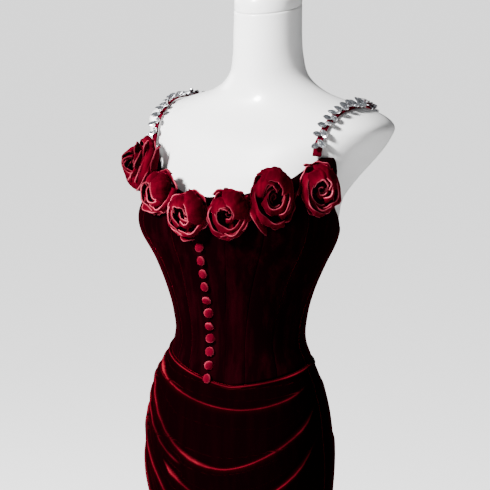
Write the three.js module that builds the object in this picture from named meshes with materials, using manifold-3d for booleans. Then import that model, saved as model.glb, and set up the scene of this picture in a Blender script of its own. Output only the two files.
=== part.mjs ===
// A velvet mermaid gown on a limbless dress form with a round stand.
// Millimetres, +Z up. The origin is the middle of the stand's underside. The gown faces -Y,
// and +X is the side of the wearer's left hand.
// An angle round the body is 0 at the centre front and grows towards +X, in degrees.
import * as THREE from "three";
import { mergeVertices } from "three/addons/utils/BufferGeometryUtils.js";
import Module from "manifold-3d";

const wasm = await Module();
wasm.setup();

// Driving dimensions
const cloth = { wall: 2, seamGap: 0.3 };
const formInset = { low: 6.3, high: 3.2, from: 1290, to: 1350 };
const heights = {
  hem: 14,
  kneeSeam: 480,
  formBottom: 705,
  neckTop: 1552,
};
const strapSize = { width: 9, wall: 2 };
const buttonSize = { radius: 7.5, rise: 6.4, count: 11, topZ: 1195, pitch: 20.4 };
const standSize = { baseRadius: 165, baseHeight: 12, poleRadius: 16 };

const velvet = { color: 0x4a0610, roughness: 0.85, metalness: 0 };
const formSkin = { color: 0xf1efec, roughness: 0.45, metalness: 0 };
const standPaint = { color: 0xe4e2df, roughness: 0.4, metalness: 0.1 };
const crystal = { color: 0xdfe4ea, roughness: 0.12, metalness: 0.75 };

// Outer face of the gown and, above the neckline, of the form. side is the half width,
// front and back are the distances from the XZ plane, middle is where the halves meet in y,
// shift moves the section in x, and the powers square off the front and the back half.
const sections = [
  { z: 0, side: 342, front: 326, back: 352, middle: 0, shift: 0, frontPower: 2, backPower: 2 },
  { z: 80, side: 312, front: 292, back: 312, middle: 0, shift: 0, frontPower: 2, backPower: 2 },
  { z: 160, side: 270, front: 246, back: 258, middle: 0, shift: 0, frontPower: 2, backPower: 2 },
  { z: 240, side: 222, front: 194, back: 200, middle: 0, shift: 0, frontPower: 2, backPower: 2 },
  { z: 320, side: 177, front: 148, back: 150, middle: 0, shift: 0, frontPower: 2, backPower: 2 },
  { z: 400, side: 146, front: 116, back: 114, middle: 0, shift: 0, frontPower: 2, backPower: 2 },
  { z: 480, side: 134, front: 104, back: 100, middle: 0, shift: 0, frontPower: 2, backPower: 2 },
  { z: 560, side: 136, front: 106, back: 103, middle: 0, shift: 0, frontPower: 2.05, backPower: 2.05 },
  { z: 700, side: 147, front: 113, back: 112, middle: 0, shift: 0, frontPower: 2.1, backPower: 2.1 },
  { z: 780, side: 151, front: 116, back: 117, middle: 0, shift: 0, frontPower: 2.1, backPower: 2.1 },
  { z: 849, side: 156, front: 119, back: 121, middle: 0, shift: -2, frontPower: 2.1, backPower: 2.1 },
  { z: 900, side: 152, front: 116, back: 117, middle: 0, shift: -3, frontPower: 2.1, backPower: 2.1 },
  { z: 940, side: 146, front: 112, back: 107, middle: 0, shift: -3, frontPower: 2.1, backPower: 2.1 },
  { z: 981, side: 134, front: 105, back: 97, middle: 0, shift: -4, frontPower: 2.05, backPower: 2.05 },
  { z: 1010, side: 121, front: 100, back: 90, middle: 0, shift: -4, frontPower: 2, backPower: 2 },
  { z: 1040, side: 107, front: 96, back: 86, middle: 0, shift: -4, frontPower: 2, backPower: 2 },
  { z: 1080, side: 109, front: 99, back: 83, middle: 0, shift: -4, frontPower: 2.05, backPower: 2.05 },
  { z: 1120, side: 121, front: 105, back: 85, middle: 0, shift: -5, frontPower: 2.1, backPower: 2.1 },
  { z: 1160, side: 138, front: 113, back: 88, middle: 0, shift: -5, frontPower: 2.2, backPower: 2.2 },
  { z: 1200, side: 156, front: 122, back: 91, middle: 3, shift: -5, frontPower: 2.35, backPower: 2.35 },
  { z: 1235, side: 161, front: 123, back: 95, middle: 6, shift: -3, frontPower: 2.4, backPower: 2.4 },
  { z: 1265, side: 161, front: 112, back: 101, middle: 12, shift: -1, frontPower: 2.4, backPower: 2.5 },
  { z: 1300, side: 174, front: 90, back: 111, middle: 46, shift: 0, frontPower: 2.42, backPower: 2.7 },
  { z: 1330, side: 192, front: 71, back: 117, middle: 68, shift: 0, frontPower: 2.55, backPower: 2.9 },
  { z: 1360, side: 209, front: 52, back: 120, middle: 78, shift: 0, frontPower: 2.7, backPower: 3 },
  { z: 1378, side: 213, front: 36, back: 120, middle: 80, shift: 0, frontPower: 2.7, backPower: 3 },
  { z: 1394, side: 190, front: 23, back: 118, middle: 80, shift: 2, frontPower: 2.45, backPower: 2.6 },
  { z: 1408, side: 148, front: 16, back: 115, middle: 72, shift: 4, frontPower: 2.1, backPower: 2.1 },
  { z: 1423, side: 102, front: 13, back: 111, middle: 62, shift: 6, frontPower: 1.75, backPower: 1.8 },
  { z: 1446, side: 71, front: 11, back: 104, middle: 52, shift: 7, frontPower: 1.8, backPower: 1.85 },
  { z: 1475, side: 60, front: 12, back: 99, middle: 46, shift: 8, frontPower: 1.95, backPower: 1.95 },
  { z: 1505, side: 57, front: 13, back: 97, middle: 43, shift: 8, frontPower: 2, backPower: 2 },
  { z: 1600, side: 55.5, front: 14, back: 97, middle: 42, shift: 8, frontPower: 2, backPower: 2 },
];

// Cups, as soft swellings either side of the centre front.
const cup = { angle: 42, z: 1228, rise: 14, halfAngle: 23, halfHeight: 42 };

// Draped folds of the front skirt. Each sags from the right side seam (-X) past the right hip
// to its low point and up to the left side seam. rise is how far the ridge stands out, and
// from and to are the angles where it fades. Above a ridge the cloth tucks in sharply, and
// below it the fold dies away.
const folds = [
  { rightSeamZ: 1020, rightHipZ: 992, lowZ: 948, lowAngle: 28, leftHipZ: 974, leftSeamZ: 988, rightCurve: 1.9, leftCurve: 1.85, rise: 5, from: -90, to: 84 },
  { rightSeamZ: 1000, rightHipZ: 962, lowZ: 856, lowAngle: 18, leftHipZ: 926, leftSeamZ: 962, rightCurve: 2.2, leftCurve: 1.75, rise: 9, from: -90, to: 88 },
  { rightSeamZ: 978, rightHipZ: 930, lowZ: 846, lowAngle: 0, leftHipZ: 900, leftSeamZ: 930, rightCurve: 1.9, leftCurve: 1.9, rise: 5, from: -90, to: -14 },
  { rightSeamZ: 930, rightHipZ: 908, lowZ: 800, lowAngle: 20, leftHipZ: 878, leftSeamZ: 922, rightCurve: 1.9, leftCurve: 2.2, rise: 8, from: -34, to: 86 },
  { rightSeamZ: 950, rightHipZ: 878, lowZ: 706, lowAngle: 12, leftHipZ: 800, leftSeamZ: 850, rightCurve: 1.3, leftCurve: 1.8, rise: 8, from: -90, to: 84 },
  { rightSeamZ: 900, rightHipZ: 800, lowZ: 612, lowAngle: 6, leftHipZ: 690, leftSeamZ: 730, rightCurve: 1.4, leftCurve: 1.7, rise: 6, from: -90, to: 70 },
];
const foldHipAngle = 57;
const foldLeftHipAngle = 75;
const foldReach = { above: 8, below: 28 };
// Two plain swags each side of the back, hanging between the side seam and the centre back.
const backFolds = [
  { sideZ: 985, lowZ: 905, rise: 5 },
  { sideZ: 900, lowZ: 800, rise: 5 },
  { sideZ: 800, lowZ: 690, rise: 4 },
];
const flounce = { waves: 8, rise: 27 };

// Panel seams of the bodice, from the centre front to the centre back, each with its angle
// at the bust and at the waist. The closure leans a little to the wearer's left.
const closure = { bust: 1.5, waist: 4 };
const bodiceSeams = [
  { bust: 0, waist: 0 },
  { bust: 21, waist: 19 },
  { bust: 43, waist: 36 },
  { bust: 67, waist: 61 },
  { bust: 98, waist: 90 },
  { bust: 138, waist: 138 },
  { bust: 180, waist: 180 },
];
const bodicePanels = [
  { name: "bodice_centre_front", columns: 3 },
  { name: "bodice_front", columns: 3 },
  { name: "bodice_side_front", columns: 4 },
  { name: "bodice_side", columns: 4 },
  { name: "bodice_side_back", columns: 4 },
  { name: "bodice_back", columns: 4 },
];

// The top edge of the bodice, from the centre front to the centre back.
const edgeStops = [
  { angle: 0, z: 1270 },
  { angle: 21, z: 1274 },
  { angle: 36, z: 1286 },
  { angle: 48, z: 1304 },
  { angle: 56, z: 1334 },
  { angle: 62, z: 1334 },
  { angle: 72, z: 1300 },
  { angle: 84, z: 1268 },
  { angle: 96, z: 1230 },
  { angle: 108, z: 1206 },
  { angle: 130, z: 1198 },
  { angle: 180, z: 1192 },
];

// Roses along the neckline. angle and z place the foot, facing and tilt are the way it looks,
// round the body and upwards, and turn rotates it about its own axis, all in degrees.
const roses = [
  { name: "rose_1", angle: -51, z: 1300, halfWidth: 34, halfHeight: 44, rise: 42, facing: -42, tilt: 12, turn: 20 },
  { name: "rose_2", angle: -30, z: 1270, halfWidth: 30, halfHeight: 34, rise: 38, facing: -12, tilt: 12, turn: 75 },
  { name: "rose_3", angle: -6, z: 1244, halfWidth: 33, halfHeight: 36, rise: 38, facing: 6, tilt: 6, turn: 140 },
  { name: "rose_4", angle: 23, z: 1252, halfWidth: 32, halfHeight: 38, rise: 38, facing: 20, tilt: 8, turn: 200 },
  { name: "rose_5", angle: 44, z: 1272, halfWidth: 33, halfHeight: 44, rise: 40, facing: 38, tilt: 12, turn: 265 },
  { name: "rose_6", angle: 63, z: 1289, halfWidth: 32, halfHeight: 41, rise: 36, facing: 54, tilt: 12, turn: 320 },
];

const radians = THREE.MathUtils.degToRad;
const clamp = THREE.MathUtils.clamp;
const lerp = THREE.MathUtils.lerp;
const smooth = (t) => THREE.MathUtils.smoothstep(t, 0, 1);
const bell = (x) => Math.exp(-x * x);

// A smooth curve through one column of a table, by height.
function sectionValue(key, z) {
  const last = sections.length - 1;
  let i = 0;
  while (i < last - 1 && z > sections[i + 1].z) i += 1;
  const slope = (j) => {
    const low = sections[Math.max(j - 1, 0)];
    const high = sections[Math.min(j + 1, last)];
    return (high[key] - low[key]) / (high.z - low.z);
  };
  const a = sections[i];
  const b = sections[i + 1];
  const span = b.z - a.z;
  const t = clamp((z - a.z) / span, 0, 1);
  const keepA = (1 + 2 * t) * (1 - t) ** 2;
  const keepB = t * t * (3 - 2 * t);
  const bendA = t * (1 - t) ** 2 * span * slope(i);
  const bendB = t * t * (t - 1) * span * slope(i + 1);
  return keepA * a[key] + keepB * b[key] + bendA + bendB;
}

// How far the cups stand out from the plain section.
function cupRise(angle, z) {
  const across = (Math.abs(angle) - cup.angle) / cup.halfAngle;
  const up = (z - cup.z) / cup.halfHeight;
  return cup.rise * bell(across) * bell(up);
}

// A point of the figure, moved out by offset.
function figurePoint(angle, z, offset = 0) {
  const sine = Math.sin(radians(angle));
  const cosine = Math.cos(radians(angle));
  const middle = sectionValue("middle", z);
  const side = sectionValue("side", z) + offset;
  const reach = cosine > 0 ? sectionValue("front", z) + middle : sectionValue("back", z) - middle;
  const power = sectionValue(cosine > 0 ? "frontPower" : "backPower", z);
  const across = Math.abs(sine / side) ** power;
  const along = Math.abs(cosine / (reach + offset)) ** power;
  const radius = (across + along) ** (-1 / power) + cupRise(angle, z);
  return new THREE.Vector3(sectionValue("shift", z) + radius * sine, middle - radius * cosine, z);
}

// The way out of the figure at a point.
function figureNormal(angle, z) {
  const step = 0.5;
  const around = figurePoint(angle + step, z).sub(figurePoint(angle - step, z));
  const up = figurePoint(angle, z + step).sub(figurePoint(angle, z - step));
  return around.cross(up).normalize();
}

// How far a point lies outside the figure, measured level.
function outsideBy(point) {
  const middle = sectionValue("middle", point.z);
  const x = point.x - sectionValue("shift", point.z);
  const y = point.y - middle;
  const edge = figurePoint(THREE.MathUtils.radToDeg(Math.atan2(x, -y)), point.z);
  return Math.hypot(x, y) - Math.hypot(edge.x - sectionValue("shift", point.z), edge.y - middle);
}

// The seam between bodice and skirt: low at the front, higher at the sides and the back.
function waistSeam(angle) {
  const low = 984;
  const lowAngle = 24;
  const rightRise = 54;
  const leftRise = 26;
  const backRise = 34;
  const turned = ((angle - lowAngle + 540) % 360) - 180;
  const sideRise = turned < 0 ? rightRise : leftRise;
  const sideAngle = turned < 0 ? 114 : 66;
  const t = Math.abs(turned) / sideAngle;
  if (t <= 1) return low + sideRise * t ** 1.25;
  const backAngle = turned < 0 ? 180 - sideAngle - lowAngle : 180 - sideAngle + lowAngle;
  const past = (Math.abs(turned) - sideAngle) / Math.abs(backAngle);
  return lerp(low + sideRise, low + backRise, smooth(clamp(past, 0, 1)));
}

// The top edge of the bodice at an angle: neckline, strap seat, armhole and back.
function topEdge(angle) {
  const a = Math.abs(angle);
  const i = clamp(edgeStops.findIndex((stop) => stop.angle > a), 1, edgeStops.length - 1);
  const near = edgeStops[i - 1];
  const far = edgeStops[i];
  return lerp(near.z, far.z, (a - near.angle) / (far.angle - near.angle));
}

// The height of a fold's ridge at an angle.
function foldHeight(fold, angle) {
  if (angle <= -foldHipAngle) {
    const t = (-angle - foldHipAngle) / (90 - foldHipAngle);
    return lerp(fold.rightHipZ, fold.rightSeamZ, t);
  }
  if (angle >= foldLeftHipAngle) {
    const t = (angle - foldLeftHipAngle) / (90 - foldLeftHipAngle);
    return lerp(fold.leftHipZ, fold.leftSeamZ, t);
  }
  if (angle < fold.lowAngle) {
    const t = (fold.lowAngle - angle) / (fold.lowAngle + foldHipAngle);
    return lerp(fold.lowZ, fold.rightHipZ, t ** fold.rightCurve);
  }
  const t = (angle - fold.lowAngle) / (foldLeftHipAngle - fold.lowAngle);
  return lerp(fold.lowZ, fold.leftHipZ, t ** fold.leftCurve);
}

function foldProfile(above) {
  return bell(above / (above > 0 ? foldReach.above : foldReach.below));
}

// How far the draped cloth stands out from the figure.
function drapeRise(angle, z) {
  const fade = 12;
  let out = 0;
  if (Math.abs(angle) <= 90) {
    for (const fold of folds) {
      const start = smooth((angle - fold.from) / fade);
      const end = smooth((fold.to - angle) / fade);
      out += fold.rise * start * end * foldProfile(z - foldHeight(fold, angle));
    }
    return out;
  }
  const t = (Math.abs(angle) - 90) / 90;
  for (const fold of backFolds) {
    const ridge = lerp(fold.sideZ, fold.lowZ, smooth(t));
    out += fold.rise * smooth(t * 4) * foldProfile(z - ridge);
  }
  return out;
}

// Waves of the flounce, from none at the knee seam to full at the hem.
function waveRise(angle, z) {
  const t = clamp((heights.kneeSeam - z) / (heights.kneeSeam - heights.hem), 0, 1);
  return flounce.rise * smooth(t) * Math.cos(radians(angle) * flounce.waves);
}

function skirtPoint(angle, z, offset) {
  return figurePoint(angle, z, offset + drapeRise(angle, z));
}

function flouncePoint(angle, z, offset) {
  return figurePoint(angle, z, offset + waveRise(angle, z));
}

// The column angles of one half at the waist, which the bodice and the skirt share.
const waistStops = bodicePanels.flatMap(({ columns }, i) =>
  spaced(bodiceSeams[i].waist, bodiceSeams[i + 1].waist, columns).slice(i ? 1 : 0));

// A closed geometry from points and triangles, with its faces turned out.
function closedGeometry(points, triangles) {
  let volume = 0;
  for (const [a, b, c] of triangles) {
    volume += points[a].dot(points[b].clone().cross(points[c]));
  }
  const order = volume < 0 ? [0, 2, 1] : [0, 1, 2];
  const geometry = new THREE.BufferGeometry();
  const flat = points.flatMap((p) => [p.x, p.y, p.z]);
  geometry.setAttribute("position", new THREE.Float32BufferAttribute(flat, 3));
  geometry.setIndex(triangles.flatMap((t) => order.map((k) => t[k])));
  geometry.computeVertexNormals();
  return geometry;
}

// A wall of cloth from two grids of points, each a list of rows of equal length.
function wallGeometry(outer, inner) {
  const rows = outer.length;
  const columns = outer[0].length;
  const points = [...outer.flat(), ...inner.flat()];
  const under = rows * columns;
  const at = (row, column) => row * columns + column;
  const triangles = [];
  const quad = (a, b, c, d) => triangles.push([a, b, c], [a, c, d]);
  for (let row = 0; row < rows - 1; row += 1) {
    for (let column = 0; column < columns - 1; column += 1) {
      const a = at(row, column);
      const b = at(row, column + 1);
      const c = at(row + 1, column + 1);
      const d = at(row + 1, column);
      quad(a, b, c, d);
      quad(under + d, under + c, under + b, under + a);
    }
  }
  const rim = [];
  for (let column = 0; column < columns - 1; column += 1) rim.push(at(0, column));
  for (let row = 0; row < rows - 1; row += 1) rim.push(at(row, columns - 1));
  for (let column = columns - 1; column > 0; column -= 1) rim.push(at(rows - 1, column));
  for (let row = rows - 1; row > 0; row -= 1) rim.push(at(row, 0));
  rim.forEach((a, i) => {
    const b = rim[(i + 1) % rim.length];
    quad(b, a, under + a, under + b);
  });
  return closedGeometry(points, triangles);
}

// A closed body through rings of points, with a middle point closing each end.
function ringGeometry(rings, lastMiddle) {
  const count = rings[0].length;
  const middle = (ring) => ring.reduce((sum, p) => sum.add(p), new THREE.Vector3()).divideScalar(count);
  const points = [...rings.flat(), middle(rings[0]), lastMiddle ?? middle(rings[rings.length - 1])];
  const low = rings.length * count;
  const triangles = [];
  for (let i = 0; i < count; i += 1) {
    const j = (i + 1) % count;
    for (let ring = 0; ring < rings.length - 1; ring += 1) {
      const a = ring * count;
      const b = a + count;
      triangles.push([a + i, a + j, b + j], [a + i, b + j, b + i]);
    }
    const top = (rings.length - 1) * count;
    triangles.push([low, j, i], [low + 1, top + i, top + j]);
  }
  return closedGeometry(points, triangles);
}

function spaced(from, to, steps) {
  return Array.from({ length: steps + 1 }, (_, i) => lerp(from, to, i / steps));
}

// A cloth panel with columns at shares between two seam angles, which may lean with height.
// rowsAt gives the heights of its rows at an angle.
function panelGeometry({ from, to, shares, rowsAt, place }) {
  const rows = rowsAt(from(heights.kneeSeam)).length;
  const grid = (offset) => spaced(0, 1, rows - 1).map((_, row) =>
    shares.map((share) => {
      const nominal = lerp(from(heights.kneeSeam), to(heights.kneeSeam), share);
      let z = rowsAt(nominal)[row];
      for (let pass = 0; pass < 3; pass += 1) {
        z = rowsAt(lerp(from(z), to(z), share))[row];
      }
      const radius = figurePoint(lerp(from(z), to(z), share), z).setZ(0).length();
      const gap = THREE.MathUtils.radToDeg(cloth.seamGap / 2 / radius);
      const angle = lerp(from(z) + gap, to(z) - gap, share);
      return place(angle, z, offset);
    }));
  return wallGeometry(grid(0), grid(-cloth.wall));
}

function named(name, geometry, finish) {
  const mesh = new THREE.Mesh(geometry, new THREE.MeshStandardMaterial(finish));
  mesh.name = name;
  return mesh;
}

// The angle of a seam at a height.
function lean(seam, z) {
  const span = { from: 1040, to: 1200 };
  return lerp(seam.waist, seam.bust, smooth((z - span.from) / (span.to - span.from)));
}

// Heights of the bodice's rows at an angle, closer together at the bust.
function bodiceRows(angle) {
  const count = 10;
  const crowding = 1.3;
  const low = waistSeam(angle) + cloth.seamGap / 2;
  return spaced(0, 1, count).map((t) => lerp(low, topEdge(angle), 1 - (1 - t) ** crowding));
}

// A point on the flat facets between the bodice's rows.
function bodiceFacet(angle, z) {
  const rows = bodiceRows(angle);
  const above = clamp(rows.findIndex((row) => row > z), 1, rows.length - 1);
  const t = (z - rows[above - 1]) / (rows[above] - rows[above - 1]);
  return figurePoint(angle, rows[above - 1]).lerp(figurePoint(angle, rows[above]), t);
}

function bodice() {
  const group = new THREE.Group();
  const sides = [{ label: "left", turn: 1 }, { label: "right", turn: -1 }];
  for (const { label, turn } of sides) {
    bodicePanels.forEach((panel, i) => {
      const near = (z) => turn * lean(bodiceSeams[i], z) + (i ? 0 : lean(closure, z));
      const far = (z) => turn * lean(bodiceSeams[i + 1], z);
      const geometry = panelGeometry({
        from: turn > 0 ? near : far,
        to: turn > 0 ? far : near,
        shares: spaced(0, 1, panel.columns),
        rowsAt: bodiceRows,
        place: figurePoint,
      });
      group.add(named(`${panel.name}_${label}`, geometry, velvet));
    });
  }
  return group;
}

// Rows of the front skirt follow the main folds, so that each ridge lies on a row, with the
// tuck above it on the row before.
function frontRows(angle) {
  const ridges = [0, 1, 3, 4].map((i) => foldHeight(folds[i], angle));
  const stops = [waistSeam(angle) - cloth.seamGap / 2, ...ridges];
  const rows = [stops[0]];
  for (let i = 1; i < stops.length; i += 1) {
    const above = stops[i - 1];
    const below = stops[i];
    const tuck = below + Math.min(11, (above - below) / 4);
    rows.push(lerp(above, tuck, 0.36), lerp(above, tuck, 0.72), tuck, below);
  }
  const last = ridges[ridges.length - 1];
  const knee = heights.kneeSeam + cloth.seamGap / 2;
  for (const share of [0.06, 0.2, 0.36, 0.52, 0.68, 0.84, 1]) rows.push(lerp(last, knee, share));
  return rows;
}

function skirt() {
  const group = new THREE.Group();
  const backRows = (angle) => {
    const knee = heights.kneeSeam + cloth.seamGap / 2;
    return spaced(waistSeam(angle) - cloth.seamGap / 2, knee, 14);
  };
  const half = waistStops;
  const around = [...half.slice(1).map((a) => -a).reverse(), ...half, ...half.slice(0, -1).map((a) => 360 - a).reverse()];
  const parts = [
    { name: "skirt_front", from: -90, to: 90, rowsAt: frontRows },
    { name: "skirt_back_left", from: 90, to: 180, rowsAt: backRows },
    { name: "skirt_back_right", from: 180, to: 270, rowsAt: backRows },
  ];
  const wrapped = (angle) => (angle > 180 ? angle - 360 : angle);
  for (const { name, from, to, rowsAt } of parts) {
    const stops = around.filter((angle) => angle >= from && angle <= to);
    const geometry = panelGeometry({
      from: () => from,
      to: () => to,
      shares: stops.map((angle) => (angle - from) / (to - from)),
      rowsAt: (angle) => rowsAt(wrapped(angle)),
      place: (angle, z, offset) => skirtPoint(wrapped(angle), z, offset),
    });
    group.add(named(name, geometry, velvet));
  }
  return group;
}

function hemFlounce() {
  const group = new THREE.Group();
  const gores = 6;
  const names = ["front", "front_left", "back_left", "back", "back_right", "front_right"];
  const rows = spaced(heights.kneeSeam - cloth.seamGap / 2, heights.hem, 7);
  names.forEach((name, i) => {
    const from = (i - 0.5) * (360 / gores);
    const geometry = panelGeometry({
      from: () => from,
      to: () => from + 360 / gores,
      shares: spaced(0, 1, 10),
      rowsAt: () => rows,
      place: flouncePoint,
    });
    group.add(named(`flounce_${name}`, geometry, velvet));
  });
  return group;
}

// Moves a point along a way until it lies a given distance outside the figure.
function ontoFigure(point, way, clear) {
  let near = -50;
  let far = 60;
  for (let pass = 0; pass < 30; pass += 1) {
    const half = (near + far) / 2;
    if (outsideBy(point.clone().addScaledVector(way, half)) < clear) near = half;
    else far = half;
  }
  return point.clone().addScaledVector(way, far);
}

// A fabric rose as one closed body: a profile of rolled lips and grooves, turned about its axis
// with the lips pulled in and out where the petals overlap. Its base lies on the bodice.
function roseGeometry({ angle, z, halfWidth, halfHeight, rise, facing, tilt, turn }) {
  const profile = [
    { out: 0.1, up: 0.84, petals: 1, sway: 0.03 },
    { out: 0.2, up: 0.98, petals: 2, sway: 0.05 },
    { out: 0.3, up: 0.72, petals: 2, sway: 0.04 },
    { out: 0.42, up: 0.96, petals: 3, sway: 0.06 },
    { out: 0.53, up: 0.62, petals: 3, sway: 0.05 },
    { out: 0.72, up: 0.84, petals: 4, sway: 0.07 },
    { out: 0.74, up: 0.48, petals: 4, sway: 0.05 },
    { out: 0.96, up: 0.62, petals: 5, sway: 0.06 },
    { out: 0.84, up: 0.46, petals: 5, sway: 0.05 },
  ];
  const baseShare = 0.48;
  const clear = 1.5;
  const segments = 20;
  const foot = figurePoint(angle, z);
  const flat = Math.cos(radians(tilt));
  const out = new THREE.Vector3(
    Math.sin(radians(facing)) * flat, -Math.cos(radians(facing)) * flat, Math.sin(radians(tilt)));
  const right = new THREE.Vector3(0, 0, 1).cross(out).normalize();
  const up = out.clone().cross(right);
  const place = (share, theta, lift) => foot.clone()
    .addScaledVector(right, halfWidth * share * Math.cos(theta))
    .addScaledVector(up, halfHeight * share * Math.sin(theta))
    .addScaledVector(out, rise * lift);
  const thetas = spaced(0, 2 * Math.PI, segments).slice(0, -1);
  const rings = profile.map((lip, j) => thetas.map((theta) => {
    const wave = Math.cos(lip.petals * theta + j * 1.3 + radians(turn));
    const lift = lip.up * (1 + (lip.up > 0.4 ? 0.07 : 0) * wave);
    return place(lip.out + lip.sway * wave, theta, lift);
  }));
  rings.push(thetas.map((theta) => ontoFigure(place(baseShare, theta, 0), out, clear)));
  return ringGeometry(rings, ontoFigure(foot, out, clear));
}

// Turns a piece so that its +Z points out of the figure and its +Y as far up as it can.
function seatOnFigure(mesh, foot, angle, z, standOff) {
  const out = figureNormal(angle, z);
  const right = new THREE.Vector3(0, 0, 1).cross(out).normalize();
  const up = out.clone().cross(right);
  const axes = new THREE.Matrix4().makeBasis(right, up, out);
  mesh.position.copy(foot).addScaledVector(out, standOff);
  mesh.quaternion.setFromRotationMatrix(axes);
}

function neckRoses() {
  const group = new THREE.Group();
  for (const rose of roses) group.add(named(rose.name, roseGeometry(rose), velvet));
  return group;
}

function frontButtons() {
  const group = new THREE.Group();
  const { radius, rise, count, topZ, pitch } = buttonSize;
  const profile = [[0, 0], [0.86, 0], [1, 0.3], [0.74, 0.82], [0, 1]];
  const outline = profile.map(([out, up]) => new THREE.Vector2(out * radius, up * rise));
  const standOff = 0.8;
  for (let i = 0; i < count; i += 1) {
    const geometry = new THREE.LatheGeometry(outline, 10);
    geometry.rotateX(Math.PI / 2);
    const mesh = named(`button_${String(i + 1).padStart(2, "0")}`, geometry, velvet);
    const z = topZ - i * pitch;
    const angle = lean(closure, z);
    seatOnFigure(mesh, bodiceFacet(angle, z), angle, z, standOff);
    group.add(mesh);
  }
  return group;
}

// The line of a shoulder strap: from its seat at the front, over the shoulder, to the back.
// It lies on the figure where rays from a hub meet it.
const strapLine = {
  hub: { y: 70, z: 1330 },
  frontZ: 1335.6,
  backZ: 1199,
  frontX: 147,
  crestX: 160,
  backX: 90,
  crestShare: 0.32,
};

// Where a ray from the strap's hub meets the figure. The turn is 0 to the front and 90 upwards.
function strapRay(x, turn) {
  const hub = new THREE.Vector3(x, strapLine.hub.y, strapLine.hub.z);
  const way = new THREE.Vector3(0, -Math.cos(radians(turn)), Math.sin(radians(turn)));
  let near = 0;
  let far = 260;
  for (let pass = 0; pass < 36; pass += 1) {
    const half = (near + far) / 2;
    if (outsideBy(hub.clone().addScaledVector(way, half)) < 0) near = half;
    else far = half;
  }
  return hub.addScaledVector(way, near);
}

// The turn at which the strap is at a height, between a lower and a higher one.
function strapTurn(x, z, lower, higher) {
  let low = lower;
  let high = higher;
  for (let pass = 0; pass < 30; pass += 1) {
    const half = (low + high) / 2;
    if (strapRay(x, half).z < z) low = half;
    else high = half;
  }
  return high;
}

const strapTurns = {
  front: strapTurn(strapLine.frontX, strapLine.frontZ, -20, 60),
  back: strapTurn(strapLine.backX, strapLine.backZ, 275, 200),
};

function strapPoint(share, side) {
  const line = strapLine;
  const early = share < line.crestShare;
  const t = smooth(early ? share / line.crestShare : (share - line.crestShare) / (1 - line.crestShare));
  const x = early ? lerp(line.frontX, line.crestX, t) : lerp(line.crestX, line.backX, t);
  return strapRay(side * x, lerp(strapTurns.front, strapTurns.back, share));
}

// The way along, out and across the strap at a share of its length.
function strapAxes(share, side) {
  const step = 0.01;
  const along = strapPoint(share + step, side).sub(strapPoint(share - step, side)).normalize();
  const middle = strapPoint(share, side);
  const slope = (axis) => {
    const ahead = middle.clone();
    const behind = middle.clone();
    ahead[axis] += 1;
    behind[axis] -= 1;
    return outsideBy(ahead) - outsideBy(behind);
  };
  const out = new THREE.Vector3(slope("x"), slope("y"), slope("z"));
  out.addScaledVector(along, -out.dot(along)).normalize();
  return { along, out, across: along.clone().cross(out) };
}

// A point beside and above the middle line of the strap.
function strapPlace(share, side, wide, high) {
  const { out, across } = strapAxes(share, side);
  return strapPoint(share, side).addScaledVector(across, wide).addScaledVector(out, high);
}

const strapShares = spaced(0, 1, 30);

function straps() {
  const group = new THREE.Group();
  const clear = 0.9;
  for (const { label, side } of [{ label: "left", side: 1 }, { label: "right", side: -1 }]) {
    const half = strapSize.width / 2;
    const top = clear + strapSize.wall;
    const corners = [[-half, clear], [half, clear], [half, top], [-half, top]];
    const rings = strapShares.map((share) =>
      corners.map(([wide, high]) => strapPlace(share, side, wide, high)));
    group.add(named(`strap_${label}`, ringGeometry(rings), velvet));
    group.add(named(`strap_trim_${label}`, trimGeometry(side, clear + strapSize.wall + 0.6), crystal));
  }
  return group;
}

// A geometry as a manifold solid, and back.
function toManifold(geometry) {
  const bare = geometry.clone();
  bare.deleteAttribute("normal");
  bare.deleteAttribute("uv");
  const merged = mergeVertices(bare, 1e-4);
  return new wasm.Manifold(new wasm.Mesh({
    numProp: 3,
    vertProperties: new Float32Array(merged.attributes.position.array),
    triVerts: new Uint32Array(merged.index.array),
  }));
}

function fromManifold(solid) {
  const mesh = solid.getMesh();
  const geometry = new THREE.BufferGeometry();
  geometry.setAttribute("position", new THREE.Float32BufferAttribute(mesh.vertProperties, 3));
  geometry.setIndex([...mesh.triVerts]);
  geometry.computeVertexNormals();
  return geometry;
}

// The crystal trim: pairs of pointed leaves on a flat stem that follows the strap.
function trimGeometry(side, lift) {
  const stem = { half: 2.2, thick: 3.6 };
  const shares = strapShares.slice(1, -1);
  const [first, last] = [shares[0], shares[shares.length - 1]];
  const leaf = { length: 15, width: 9, height: 5, spread: 44, pairs: 13, out: 6.6 };
  const top = lift + stem.thick;
  const corners = [[-stem.half, lift], [stem.half, lift], [stem.half, top], [-stem.half, top]];
  const rings = shares.map((share) =>
    corners.map(([wide, high]) => strapPlace(share, side, wide, high)));
  let solid = toManifold(ringGeometry(rings));
  for (let i = 0; i < leaf.pairs; i += 1) {
    for (const way of [-1, 1]) {
      const share = lerp(first + 0.03, last - 0.01, (i + (way > 0 ? 0.5 : 0)) / leaf.pairs);
      const { along, out, across } = strapAxes(share, side);
      const spread = radians(leaf.spread);
      const long = along.clone().multiplyScalar(-Math.cos(spread)).addScaledVector(across, way * Math.sin(spread));
      const wide = long.clone().cross(out);
      const middle = strapPlace(share, side, 0, lift + leaf.height / 2 + 0.5).addScaledVector(long, leaf.out);
      const geometry = new THREE.OctahedronGeometry(1);
      geometry.scale(leaf.length / 2, leaf.width / 2, leaf.height / 2);
      geometry.applyMatrix4(new THREE.Matrix4().makeBasis(long, wide, long.clone().cross(wide)).setPosition(middle));
      solid = solid.add(toManifold(geometry));
    }
  }
  return fromManifold(solid);
}

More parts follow.
